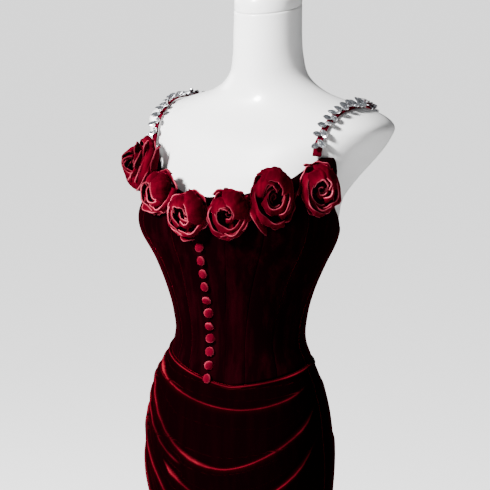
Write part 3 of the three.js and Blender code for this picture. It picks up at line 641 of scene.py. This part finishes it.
def skirtMarks(angle, z):
    flat = wrapAngle(angle)
    _, glow, lines = drape(flat, z)
    # painted highlight: the waist seam's bright line and glow join the folds' painted lines
    seam, fade = z - waistSeam(flat) + 1.6, seamHighlightLevel(flat)
    lines.append((seam, 0.7 * fade, 0.8 + 0 * seam))
    glow = np.maximum(glow, glowBelow(seam, 3.0) * fade * 0.6)
    return ridgeMarks(*nearestLine(lines), glow)


def makeSkirt():
    parts = [("skirt_front", -90, 90, skirt["frontSize"], "gathered"),
             ("skirt_back_left", 90, 180, skirt["backSize"], "stretched"),
             ("skirt_back_right", 180, 270, skirt["backSize"], "stretched")]
    for name, start, end, size, held in parts:
        piece, outer = makePanel(name, lambda z: start + 0 * z, lambda z: end + 0 * z, size, skirtRows, skirtPlace,
                                 skirtLining, skirt["seamGap"], velvet, skirt["stride"], skirtMarks)


makeSkirt()
print("skirt ready")

# flounce: six gores that fall in soft waves
flounce = {"size": (44, 110), "lining": 2.7, "seamGap": 0.06, "waves": 8, "rise": 27, "cut": (0.38, 0.6)}
goreNames = ["front", "front_left", "back_left", "back", "back_right", "front_right"]


def waveRise(angle, z):
    t = np.clip((kneeSeam - z) / (kneeSeam - hemHeight), 0, 1)
    main = np.cos(np.radians(angle) * flounce["waves"])
    minor = 0.16 * np.sin(np.radians(angle) * 17 + 0.8) + 0.09 * np.sin(np.radians(angle) * 29 + 2.1)
    return flounce["rise"] * smooth(t) * (main + minor * t)


def flouncePlace(angle, z, edge):
    dip = 0.9 * bell(edge / 3.0)
    roll = 0.9 * bell((z - hemHeight - 2) / 3.0)
    hemStitch = 0.5 * bell((z - hemHeight - 22) / 1.6)
    head = 0.9 * bell((kneeSeam - z) / 3.5)
    return figurePoint(angle, z, waveRise(angle, z) - dip + roll - hemStitch - head)


def flounceRows(angle, level):
    return mix(hemHeight, kneeSeam - 0.15, level) + 0 * angle


def makeFlounce():
    wide = 360.0 / len(goreNames)
    for i, label in enumerate(goreNames):
        start = (i - 0.5) * wide
        piece, outer = makePanel(f"flounce_{label}", lambda z: start + 0 * z, lambda z: start + wide + 0 * z,
                                 flounce["size"], flounceRows, flouncePlace,
                                 lambda a, z, e: figurePoint(a, z, waveRise(a, z) - flounce["lining"]),
                                 flounce["seamGap"], velvet)


makeFlounce()
print("flounce ready")

# roses: rolled petals with turned rims, each rose on its own foot
roseColumns = ["name", "angle", "z", "halfWidth", "halfHeight", "rise", "facing", "tilt", "turn"]
roseRows = [
    ("rose_1", -51, 1300, 34, 44, 42, -42, 12, 20),
    ("rose_2", -30, 1270, 30, 34, 38, -12, 12, 75),
    ("rose_3", -6, 1244, 33, 36, 38, 6, 6, 140),
    ("rose_4", 23, 1252, 32, 38, 38, 20, 8, 200),
    ("rose_5", 44, 1272, 33, 44, 40, 38, 12, 265),
    ("rose_6", 63, 1289, 32, 41, 36, 54, 12, 320),
]
# shares of the CAD rose that the petals fill, cloth and rim thickness, width and reach of the painted highlight
# line and glow along the rims, strip width, waste
petals = {"fill": (0.95, 0.93), "cloth": 1.2, "rim": 0.9, "line": 0.9, "glow": 6.0, "strip": 0.09, "waste": 1.2,
          "seed": 40, "turn": 14}
# a petal's foot, widest and rim radius, foot and rim height, half angle, curl, rounding, ruffle
petalKinds = {
    "inner": (0.10, 0.38, 0.22, 0.20, 0.86, 118, 0.02, 0.12, 0.02),
    "middle": (0.26, 0.72, 0.46, 0.10, 0.98, 96, 0.04, 0.18, 0.03),
    "outer": (0.50, 0.98, 0.76, 0.05, 0.80, 74, 0.07, 0.26, 0.05),
    "hood": (0.50, 0.98, 0.40, 0.05, 1.10, 62, 0.03, 0.22, 0.03),
    "ruffled": (0.42, 0.78, 0.86, 0.05, 0.86, 58, 0.07, 0.12, 0.09),
    "pointed": (0.46, 0.88, 1.14, 0.08, 0.62, 40, 0.14, 0.85, 0.01),
    "backing": (0.60, 0.92, 1.00, 0.02, 0.34, 46, 0.06, 0.50, 0.08),
}
# each bud's lean to the right and up, the side of its hood, its turn, and its further petals
buds = {
    "rose_1": (-0.10, 0.10, 205, 30, [("ruffled", 10, 1.0, 0.95), ("ruffled", -24, 0.82, 1.08),
                                      ("ruffled", 40, 0.66, 1.16), ("ruffled", -60, 1.12, 0.72)]),
    "rose_2": (-0.12, -0.10, 66, 150, [("ruffled", 250, 1.05, 0.8)]),
    "rose_3": (-0.02, -0.06, 80, 262, [("outer", 215, 0.92, 0.95)]),
    "rose_4": (-0.04, -0.18, 96, 20, [("ruffled", 300, 1.0, 0.85)]),
    "rose_5": (-0.06, 0.10, 104, 200, [("pointed", 232, 1.0, 1.0), ("outer", 20, 0.88, 1.0)]),
    "rose_6": (-0.12, -0.14, 84, 310, [("outer", 262, 0.9, 0.96)]),
}


# one petal as angle, radius and height, in shares of the rose's size
def petalShape(kind, centre, hood, random, spread=1.0, height=1.0):
    foot, widest, rim, low, top, half, curl, rounding, ruffle = petalKinds[kind]
    wide = int(np.clip(half / 2.0, 24, 56))
    s = np.linspace(-1, 1, wide)[None, :]
    t = np.linspace(0, 1, 20)[:, None]
    theta = np.radians(centre + s * half * mix(0.74, 1.0, t))
    crown = 1 - rounding * np.abs(s) ** (1.2 if kind == "pointed" else 2.4)
    slant = 1 + 0.15 * np.cos(theta - math.radians(hood)) * (kind in ("inner", "middle", "hood"))
    summit = (top * height + random.uniform(-0.07, 0.07)) * crown * slant * (1 - 0.13 * (0.5 + 0.5 * s))
    size = spread * (1 + random.uniform(-0.08, 0.08))
    control = 2 * widest - (foot + rim) / 2
    radius = ((1 - t) ** 2 * foot + 2 * t * (1 - t) * control + t ** 2 * rim) * size
    radius = radius + 0.09 * s * mix(0.4, 1, t)
    high = low + (summit - low) * (1 - (1 - t) ** 1.25)
    roll = smooth((t - 0.82) / 0.18)
    radius = radius + curl * roll ** 1.4
    high = high - curl * 0.6 * roll ** 3
    phase = random.uniform(0, 6.28)
    wave = np.sin(s * random.uniform(3, 5) + phase) + 0.5 * np.sin(s * 9 + 2 * phase)
    pulls = 0.024 * np.sin(s * 8 + phase + 4 * t) + 0.012 * np.sin(s * 21 - 2 * phase + 2 * t)
    pulls = pulls * smooth(t / 0.3) * (1 - roll)
    return theta, radius + ruffle * roll * wave + pulls, high + 0.6 * ruffle * roll * wave


# the rolled heart of a bud, lower than the petals round it
def heartShape(centre, hood):
    turn = np.linspace(0, 330, 60)[None, :]
    t = np.linspace(0, 1, 14)[:, None]
    theta = np.radians(centre + turn) + 0 * t
    radius = mix(0.04, 0.17, turn / 330) * mix(0.75, 1.15, t) + 0.02 * smooth((t - 0.8) / 0.2)
    top = 0.60 - 0.10 * bell((turn - 170) / 80) + 0.10 * np.cos(theta - math.radians(hood))
    return theta, radius * (1 + 0.2 * np.cos(theta)), mix(0.12, top, 1 - (1 - t) ** 1.3)


def makeRose(rose, index):
    facing, tilt = math.radians(rose["facing"]), math.radians(rose["tilt"])
    out = np.array([math.sin(facing) * math.cos(tilt), -math.cos(facing) * math.cos(tilt), math.sin(tilt)])
    right = np.cross([0, 0, 1.0], out)
    right = right / np.linalg.norm(right)
    up = np.cross(out, right)
    foot = figurePoint(rose["angle"], rose["z"], 2.0) + figureNormal(rose["angle"], rose["z"]) * 1.0
    leanRight, leanUp, hood, turned, further = buds[rose["name"]]
    random = np.random.default_rng(petals["seed"] + index)
    plan = [("inner", turned, 1.1, 0.94), ("middle", turned + 80, 0.9, 0.94), ("middle", turned + 230, 1.06, 0.84),
            ("hood", hood - 36, 1, 1), ("hood", hood + 30, 0.9, 0.93), ("hood", hood + 2, 0.7, 0.92),
            ("outer", hood + 118, 1, 1), ("outer", hood - 112, 1.04, 0.92)]
    plan += further + [("backing", hood + step, 1, 1) for step in (-14, 62, 150, 236)]
    shapes = [heartShape(turned + 90, hood)]
    shapes += [petalShape(kind, centre + random.uniform(-petals["turn"], petals["turn"]), hood, random, spread,
                          height)
               for kind, centre, spread, height in plan]
    points, faces, rims, first, area = [], [], [], 0, 0.0
    for theta, radius, high in shapes:
        high = high + 0 * theta
        across = petals["fill"][0] * rose["halfWidth"] * (radius * np.cos(theta) + leanRight * high)
        along = petals["fill"][1] * rose["halfHeight"] * (radius * np.sin(theta) + leanUp * high)
        grid = foot + across[..., None] * right + along[..., None] * up + (rose["rise"] * high)[..., None] * out
        step = np.linalg.norm(np.diff(grid, axis=0), axis=-1)
        fromRim = np.concatenate([np.cumsum(step[::-1], axis=0)[::-1], np.zeros((1, grid.shape[1]))])
        thickness = petals["cloth"] + petals["rim"] * smooth((3.2 - fromRim) / 2.4)
        p, f = sheetParts(grid, thickness, first)
        points.append(p)
        faces += f
        rims += [-fromRim.ravel(), -fromRim.ravel()]
        first += len(p)
        area += gridArea(grid)
    rims = np.concatenate(rims)
    # painted highlight along every petal rim: a thin bright line and a glow inward from it
    marks = ridgeMarks(rims, 1 + 0 * rims, petals["line"] + 0 * rims, glowBelow(rims, petals["glow"]))
    piece = makeMesh(rose["name"] + "_petals", np.concatenate(points), faces, roseVelvet, marks=marks)
    finishPiece(piece, "velvet", rose["name"])


for index, row in enumerate(roseRows):
    makeRose(dict(zip(roseColumns, row)), index + 1)
print("roses ready")


# how far points lie outside the figure, measured level
def outsideBy(points):
    z = points[..., 2]
    x = points[..., 0] - sectionAt("shift", z)
    y = points[..., 1] - sectionAt("middle", z)
    edge = figurePoint(np.degrees(np.arctan2(x, -y)), z)
    edgeX = edge[..., 0] - sectionAt("shift", z)
    edgeY = edge[..., 1] - sectionAt("middle", z)
    return np.hypot(x, y) - np.hypot(edgeX, edgeY)


# shoulder straps, where rays from a hub meet the figure
strap = {"hub": (70, 1330), "frontZ": 1335.6, "backZ": 1199, "frontX": 147, "crestX": 160, "backX": 90,
         "crestShare": 0.32, "width": 9, "wall": 1.8, "lift": 0.9}


def strapRay(x, turn):
    x, turn = np.broadcast_arrays(np.asarray(x, float), np.radians(turn))
    hub = np.stack([x, 0 * x + strap["hub"][0], 0 * x + strap["hub"][1]], -1)
    way = np.stack([0 * turn, -np.cos(turn), np.sin(turn)], -1)
    near, far = np.zeros(x.shape), np.full(x.shape, 260.0)
    for _ in range(36):
        half = (near + far) / 2
        inside = outsideBy(hub + way * half[..., None]) < 0
        near, far = np.where(inside, half, near), np.where(inside, far, half)
    return hub + way * near[..., None]


def strapTurn(x, z, lower, higher):
    for _ in range(30):
        half = (lower + higher) / 2
        if strapRay(x, half)[2] < z:
            lower = half
        else:
            higher = half
    return higher


strapEnds = (strapTurn(strap["frontX"], strap["frontZ"], -20, 60),
             strapTurn(strap["backX"], strap["backZ"], 275, 200))


def strapLine(share, side):
    share = np.asarray(share, float)
    crest = strap["crestShare"]
    early = mix(strap["frontX"], strap["crestX"], smooth(share / crest))
    late = mix(strap["crestX"], strap["backX"], smooth((share - crest) / (1 - crest)))
    return strapRay(side * np.where(share < crest, early, late), mix(strapEnds[0], strapEnds[1], share))


def strapAxes(share, side):
    share = np.asarray(share, float)
    along = strapLine(share + 0.01, side) - strapLine(share - 0.01, side)
    along = along / np.linalg.norm(along, axis=-1, keepdims=True)
    middle = strapLine(share, side)
    steps = np.eye(3)
    out = np.stack([outsideBy(middle + step) - outsideBy(middle - step) for step in steps], -1)
    out = out - along * (out * along).sum(-1, keepdims=True)
    out = out / np.linalg.norm(out, axis=-1, keepdims=True)
    return middle, along, out, np.cross(along, out)


def makeStraps():
    shares = np.linspace(0, 1, 110)
    profile = np.array([(-1, 0.1), (-0.8, 0), (0.8, 0), (1, 0.1), (1, 0.9), (0.8, 1), (0, 1.15), (-0.8, 1),
                        (-1, 0.9)])
    for label, side in (("left", 1), ("right", -1)):
        middle, along, out, across = strapAxes(shares, side)
        halfWidth = strap["width"] / 2 * (1 + 0.5 * smooth((0.06 - shares) / 0.03))
        wide = profile[None, :, 0] * halfWidth[:, None]
        high = profile[None, :, 1] * strap["wall"] + strap["lift"] + 0 * wide
        rings = middle[:, None] + across[:, None] * wide[..., None] + out[:, None] * high[..., None]
        count = len(profile)
        last = (len(shares) - 1) * count
        faces = tubeFaces(len(shares), count)
        faces += [tuple(range(count))[::-1], tuple(range(last, last + count))]
        piece = makeMesh(f"strap_{label}_band", rings.reshape(-1, 3), faces, trimVelvet)
        fixNormals(piece)
        finishPiece(piece, "velvet", f"strap_{label}")


def fixNormals(piece):
    work = bmesh.new()
    work.from_mesh(piece.data)
    bmesh.ops.remove_doubles(work, verts=work.verts, dist=1e-6)
    bmesh.ops.recalc_face_normals(work, faces=work.faces)
    work.to_mesh(piece.data)
    work.free()


makeStraps()
print("straps ready")


# Geometry Nodes: one source piece on every point, turned by the point's own attribute
def buildScatter():
    tree, inlet, outlet, link = newGroup("onePieceOnEachPoint", "GeometryNodeTree")
    addSockets(tree, "INPUT", "Geometry", {"Geometry": None})
    addSockets(tree, "INPUT", "Object", {"Source": None})
    addSockets(tree, "INPUT", "Float", {"Size": 1.0, "Size Spread": 0.0})
    addSockets(tree, "INPUT", "Int", {"Seed": 3})
    addSockets(tree, "INPUT", "Material", {"Finish": None})
    addSockets(tree, "OUTPUT", "Geometry", {"Geometry": None})
    nodes = tree.nodes
    source = nodes.new("GeometryNodeObjectInfo")
    turn = addNode(tree, "GeometryNodeInputNamedAttribute", data_type="FLOAT_VECTOR", Name="turn")
    random = nodes.new("FunctionNodeRandomValue")
    low = addNode(tree, "ShaderNodeMath", operation="SUBTRACT")
    high = addNode(tree, "ShaderNodeMath", operation="ADD")
    place = nodes.new("GeometryNodeInstanceOnPoints")
    realize = nodes.new("GeometryNodeRealizeInstances")
    finish = nodes.new("GeometryNodeSetMaterial")
    link(inlet.outputs["Source"], source.inputs["Object"])
    link(inlet.outputs["Geometry"], place.inputs["Points"])
    link(source.outputs["Geometry"], place.inputs["Instance"])
    link(turn.outputs["Attribute"], place.inputs["Rotation"])
    for limit in (low, high):
        link(inlet.outputs["Size"], limit.inputs[0])
        link(inlet.outputs["Size Spread"], limit.inputs[1])
    link(low.outputs[0], random.inputs[2])
    link(high.outputs[0], random.inputs[3])
    link(inlet.outputs["Seed"], random.inputs["Seed"])
    link(random.outputs[1], place.inputs["Scale"])
    link(place.outputs["Instances"], realize.inputs["Geometry"])
    link(realize.outputs["Geometry"], finish.inputs["Geometry"])
    link(inlet.outputs["Finish"], finish.inputs["Material"])
    link(finish.outputs["Geometry"], outlet.inputs["Geometry"])
    return tree


scatterTree = buildScatter()


def scatter(name, points, turns, source, finish, size=1.0, spread=0.0, seed=3):
    mesh = bpy.data.meshes.new(name + "Points")
    mesh.from_pydata([tuple(p) for p in np.asarray(points) * mm], [], [])
    attribute = mesh.attributes.new("turn", "FLOAT_VECTOR", "POINT")
    attribute.data.foreach_set("vector", np.asarray(turns, float).ravel())
    holder = bpy.data.objects.new(name + "Holder", mesh)
    bpy.context.scene.collection.objects.link(holder)
    modifier = holder.modifiers.new("scatter", "NODES")
    modifier.node_group = scatterTree
    values = {"Source": source, "Size": size, "Size Spread": spread, "Seed": seed, "Finish": finish}
    for item in scatterTree.interface.items_tree:
        if item.in_out == "INPUT" and item.name in values:
            modifier[item.identifier] = values[item.name]
    graph = bpy.context.evaluated_depsgraph_get()
    graph.update()
    result = bpy.data.meshes.new_from_object(holder.evaluated_get(graph))
    result.name = name
    bpy.data.objects.remove(holder)
    piece = bpy.data.objects.new(name, result)
    bpy.context.scene.collection.objects.link(piece)
    return piece


def eulerOf(xAxis, yAxis, zAxis):
    matrix = Matrix((xAxis, yAxis, zAxis)).transposed()
    return tuple(matrix.to_euler())


# crystal leaves in silver settings, in pairs along each strap
leaf = {"length": 15.2, "width": 9.0, "pairs": 30, "spread": 56, "out": 7.0, "from": 0.035, "to": 0.97,
        "wobble": 11, "bead": 2.3}


def leafSource():
    count = 12
    angles = [2 * math.pi * i / count for i in range(count)]
    ring = [(leaf["length"] / 2 * math.copysign(abs(math.cos(a)) ** 0.9, math.cos(a)),
             leaf["width"] / 2 * math.copysign(abs(math.sin(a)) ** 1.35, math.sin(a))) for a in angles]
    def level(scale, z):
        return [(x * scale, y * scale, z) for x, y in ring]
    stonePoints = level(0.78, 0.7) + level(0.42, 2.3) + [(0, 0, 2.8), (0, 0, 0.2)]
    stoneFaces = []
    for i in range(count):
        j = (i + 1) % count
        stoneFaces += [(i, j, count + j), (i, count + j, count + i), (count + i, count + j, 2 * count),
                       (j, i, 2 * count + 1)]
    rimPoints = level(1.0, 0.0) + level(1.0, 1.2) + level(0.76, 1.6) + level(0.76, 0.0)
    stonePiece = makeMesh("leafStoneSource", stonePoints, stoneFaces, stone, False)
    rimPiece = makeMesh("leafRimSource", rimPoints, tubeFaces(4, count, True), silver, False)
    for piece in (stonePiece, rimPiece):
        fixNormals(piece)
    return stonePiece, rimPiece


# a small round stone, cut in eight facets
def beadSource():
    count = 8
    points = []
    for scale, z in ((0.9, 0.0), (1.0, 0.7), (0.55, 1.9)):
        for i in range(count):
            a = 2 * math.pi * i / count
            points.append((leaf["bead"] * scale * math.cos(a), leaf["bead"] * scale * math.sin(a), z))
    ends = [tuple(range(count))[::-1], tuple(range(2 * count, 3 * count))]
    return makeMesh("beadSource", points, tubeFaces(3, count) + ends, stone, False)


def makeTrims():
    stonePiece, rimPiece = leafSource()
    beadPiece = beadSource()
    lift = strap["lift"] + strap["wall"] * 1.15 + 0.3
    for label, side in (("left", 1), ("right", -1)):
        points, turns, beadPoints, beadTurns = [], [], [], []
        random = np.random.default_rng(12)
        for i in range(leaf["pairs"]):
            for way in (-1, 1):
                share = mix(leaf["from"], leaf["to"], (i + (0.35 if way > 0 else 0)) / (leaf["pairs"] - 0.6))
                middle, along, out, across = strapAxes(share, side)
                spread = math.radians(leaf["spread"] + random.uniform(-leaf["wobble"], leaf["wobble"]))
                long = -along * math.cos(spread) + across * way * math.sin(spread) + out * random.uniform(0.0, 0.55)
                long = long / np.linalg.norm(long)
                tilted = out + random.uniform(-0.5, 0.5) * across + random.uniform(-0.35, 0.35) * along
                tilted = tilted + np.array([0, -0.8 if share < 1.2 * strap["crestShare"] else 0.8, 0]) * abs(out[2])
                tilted = tilted - long * np.dot(tilted, long)
                tilted = tilted / np.linalg.norm(tilted)
                points.append(middle + out * (lift + 1.2) + long * leaf["out"] * 0.9)
                turns.append(eulerOf(long, np.cross(tilted, long), tilted))
            middle, along, out, across = strapAxes(share, side)
            beadPoints.append(middle + out * (lift + 1.6))
            beadTurns.append(eulerOf(along, np.cross(out, along), out))
        stones = scatter(f"trim_stones_{label}", points, turns, stonePiece, stone, 1.0, 0.06, 5)
        beads = scatter(f"trim_beads_{label}", beadPoints, beadTurns, beadPiece, stone, 1.0, 0.1, 6)
        rims = scatter(f"trim_settings_{label}", points, turns, rimPiece, silver, 1.0, 0.06, 5)
        finishPiece(stones, "crystal", f"strap_trim_{label}")
        finishPiece(rims, "crystal")
        finishPiece(beads, "crystal")
    for piece in (stonePiece, rimPiece, beadPiece):
        bpy.data.objects.remove(piece)


makeTrims()
print("crystal trims ready")

# covered buttons down the closure
button = {
    "radius": 7.3, "rise": 6.0, "stand": 1.4, "count": 11, "topZ": 1195, "pitch": 20.4,
    # how far each button tips to the wearer's left and upward
    "tips": [(0.1, 0.5), (-0.25, 0.1), (-0.1, -0.1), (-0.2, 0.0), (0.1, -0.6), (0.5, 0.0), (0.0, -0.55), (0.4, 0.5),
             (0.1, 0.05), (0.55, -0.3), (-0.3, 0.05)],
}


def makeButtons():
    segments = 28
    profile = [(0.0, 0.0), (0.9, 0.0), (1.0, 0.2), (0.97, 0.42), (0.84, 0.68), (0.62, 0.86), (0.34, 0.97),
               (0.0, 1.0)]
    points = []
    for radius, rise in profile:
        for i in range(segments):
            a = 2 * math.pi * i / segments
            fold = 1 + (0.025 * math.sin(9 * a) if 0.1 < rise < 0.5 else 0)
            points.append((button["radius"] * radius * fold * math.cos(a),
                           button["radius"] * radius * fold * math.sin(a), button["rise"] * rise))
    reach = [0.0, 3.0, 0.6, 0.2, 1.6, 3.4, 5.2, 8.0]  # distance from the painted highlight line round the rim, by ring
    reach = np.repeat(-np.array(reach), segments)
    # painted highlight round each button's rim, fading towards its centre
    marks = ridgeMarks(reach, 0.8 + 0 * reach, 0.9 + 0 * reach, glowBelow(reach, 3.0))
    source = makeMesh("buttonSource", points, tubeFaces(len(profile), segments), trimVelvet, marks=marks)
    fixNormals(source)
    places, turns = [], []
    for i in range(button["count"]):
        z = button["topZ"] - i * button["pitch"]
        angle = lean(closure, z)
        normal = figureNormal(angle, z)
        sideways, upward = button["tips"][i]
        tipped = normal + sideways * np.array([0.85, 0.53, 0]) + upward * np.array([0, 0, 1.0])
        tipped = tipped / np.linalg.norm(tipped)
        right = np.cross([0, 0, 1.0], tipped)
        right = right / np.linalg.norm(right)
        places.append(figurePoint(angle, z) + normal * button["stand"])
        turns.append(eulerOf(right, np.cross(tipped, right), tipped))
    piece = scatter("button_row", places, turns, source, trimVelvet)
    bpy.data.objects.remove(source)
    piece.data.shade_smooth()
    finishPiece(piece, "velvet", *[f"button_{i + 1:02d}" for i in range(button["count"])])


makeButtons()
print("buttons ready")

# the dress form: torso and neck cap
form = {"insetLow": 6.3, "insetHigh": 3.2, "from": 1290, "to": 1350, "bottom": 705, "neckTop": 1552}


def formRings(levels, offsets, segments=120):
    angle = np.linspace(0, 360, segments, endpoint=False)[None, :]
    z = np.asarray(levels, float)[:, None] + 0 * angle
    points = figurePoint(angle + 0 * z, z, np.asarray(offsets, float)[:, None] + 0 * angle)
    lift = math.tan(math.radians(12)) * smooth((z - 1440) / (form["neckTop"] - 1440))
    points[..., 2] += lift * (points[..., 1] - 42)
    return points


def ringSolid(name, rings, material):
    levels, count = rings.shape[:2]
    points = np.concatenate([rings.reshape(-1, 3), rings[0].mean(0)[None], rings[-1].mean(0)[None]])
    faces = tubeFaces(levels, count)
    low, top = levels * count, (levels - 1) * count
    for j in range(count):
        n = (j + 1) % count
        faces.append((low, n, j))
        faces.append((low + 1, top + j, top + n))
    return makeMesh(name, points, faces, material)


def formInset(z):
    return mix(form["insetLow"], form["insetHigh"], smooth((z - form["from"]) / (form["to"] - form["from"])))


def makeForm():
    low, neckTop = form["bottom"], form["neckTop"]
    levels = np.concatenate([[low, low + 2, low + 6, low + 14], np.arange(low + 22, 1300, 11.0),
                             np.arange(1300, neckTop - 3, 4.0), [neckTop - 1.6, neckTop - 0.4, neckTop]])
    taper = {low: 34, low + 2: 24, low + 6: 12, low + 14: 3, neckTop - 0.4: 0.7, neckTop: 1.6}
    offsets = [-formInset(z) - taper.get(z, 0) for z in levels]
    torso = ringSolid("form_torso_shell", formRings(levels, offsets), formGloss)
    finishPiece(torso, "form", "form_torso")
    cap = [(0.4, 1.4), (1.2, 0.5), (3, 0.1), (14, 0), (20, 0.4), (24, 2), (27, 5), (30, 10), (32.5, 18), (33.4, 28)]
    rings = formRings([neckTop + rise for rise, _ in cap], [-form["insetHigh"] - inset for _, inset in cap])
    finishPiece(ringSolid("form_neck_cap_shell", rings, formGloss), "form", "form_neck_cap")


makeForm()
print("form ready")

# the stand: a pole with flanges on a round base
standOutlines = {
    "stand_base": [(0, 0), (164, 0), (165, 1), (165, 7), (163.5, 9.5), (157, 12), (0, 12)],
    "stand_pole": [(0, 12.3), (40, 12.3), (40, 16.5), (38, 18.3), (16, 38.3), (16, 674.7), (58, 691), (60, 693),
                   (60, 704.7), (0, 704.7)],
}


def makeStand():
    segments = 72
    angle = np.linspace(0, 2 * math.pi, segments, endpoint=False)
    for node, outline in standOutlines.items():
        radius, z = np.array([r for r, _ in outline[1:-1]]), np.array([h for _, h in outline[1:-1]])
        rings = np.stack([radius[:, None] * np.cos(angle), radius[:, None] * np.sin(angle),
                          z[:, None] + 0 * angle], -1)
        piece = ringSolid(node + "_turned", rings, standPaint)
        piece.data.set_sharp_from_angle(angle=math.radians(32))
        finishPiece(piece, "stand", node)


makeStand()
print("stand ready")

# camera: 137 mm lens on a 36 mm sensor, a little above the bust, to the wearer's left
view = {"azimuth": 32.5, "elevation": 8.5, "distance": 2.9, "height": 1.1845, "lens": 137.0, "roll": 1.0}


def makeCamera():
    azimuth, elevation = math.radians(view["azimuth"]), math.radians(view["elevation"])
    back = Vector((math.sin(azimuth) * math.cos(elevation), -math.cos(azimuth) * math.cos(elevation),
                   math.sin(elevation)))
    right = Vector((0, 0, 1)).cross(back).normalized()
    up = back.cross(right)
    roll = math.radians(view["roll"])
    right, up = (right * math.cos(roll) + up * math.sin(roll), up * math.cos(roll) - right * math.sin(roll))
    camera = bpy.data.objects.new("camera", bpy.data.cameras.new("camera"))
    matrix = Matrix((right, up, back)).transposed().to_4x4()
    matrix.translation = Vector((0, 0, view["height"])) + back * view["distance"]
    camera.matrix_world = matrix
    camera.data.lens = view["lens"]
    camera.data.sensor_width = 36
    camera.data.clip_end = 500
    bpy.context.scene.collection.objects.link(camera)
    bpy.context.scene.camera = camera


# plain pale floor and soft studio light
studio = {
    "floor": (0.86, 0.86, 0.86), "floorGlow": 1.5,
    "world": (0.90, 0.91, 0.93), "worldStrength": 0.22,
    # name, place, aim, size, watts
    "lights": [
        ("key", (-1.15, -2.85, 3.0), (0, 0, 1.2), 0.55, 620),
        ("rim", (-3.0, 0.6, 2.2), (0, 0, 1.1), 1.2, 60),
    ],
}


def makeStudio():
    floorMaterial, tree, shader = newMaterial("floorPaper")
    noise = addNode(tree, "ShaderNodeTexNoise", Scale=3.0)
    place = tree.nodes.new("ShaderNodeTexCoord")
    tree.links.new(place.outputs["Object"], noise.inputs["Vector"])
    paper = mixColours(tree, noise.outputs["Fac"], studio["floor"], tuple(c + 0.02 for c in studio["floor"]))
    tree.links.new(paper, shader.inputs["Base Color"])
    shader.inputs["Roughness"].default_value = 0.9
    shader.inputs["Specular IOR Level"].default_value = 0.1
    path = tree.nodes.new("ShaderNodeLightPath")
    seen = mixColours(tree, path.outputs["Is Camera Ray"], (0.0, 0.0, 0.0), (studio["floorGlow"],) * 3)
    tree.links.new(seen, shader.inputs["Emission Color"])
    shader.inputs["Emission Strength"].default_value = 1.0
    half = 150000  # far enough to reach the picture's top edge
    floor = makeMesh("floor", [(-half, -half, 0), (half, -half, 0), (half, half, 0), (-half, half, 0)],
                     [(0, 1, 2, 3)], floorMaterial, False)
    world = bpy.data.worlds.new("studio")
    world.use_nodes = True
    world.node_tree.nodes["Background"].inputs["Color"].default_value = (*studio["world"], 1)
    world.node_tree.nodes["Background"].inputs["Strength"].default_value = studio["worldStrength"]
    bpy.context.scene.world = world
    for name, place, aim, size, watts in studio["lights"]:
        light = bpy.data.lights.new(name, "AREA")
        light.size = size
        light.energy = watts
        lamp = bpy.data.objects.new(name, light)
        lamp.location = place
        lamp.rotation_euler = (Vector(place) - Vector(aim)).to_track_quat("Z", "Y").to_euler()
        lamp.visible_camera = False
        bpy.context.scene.collection.objects.link(lamp)


makeCamera()
makeStudio()
print("camera and light ready")
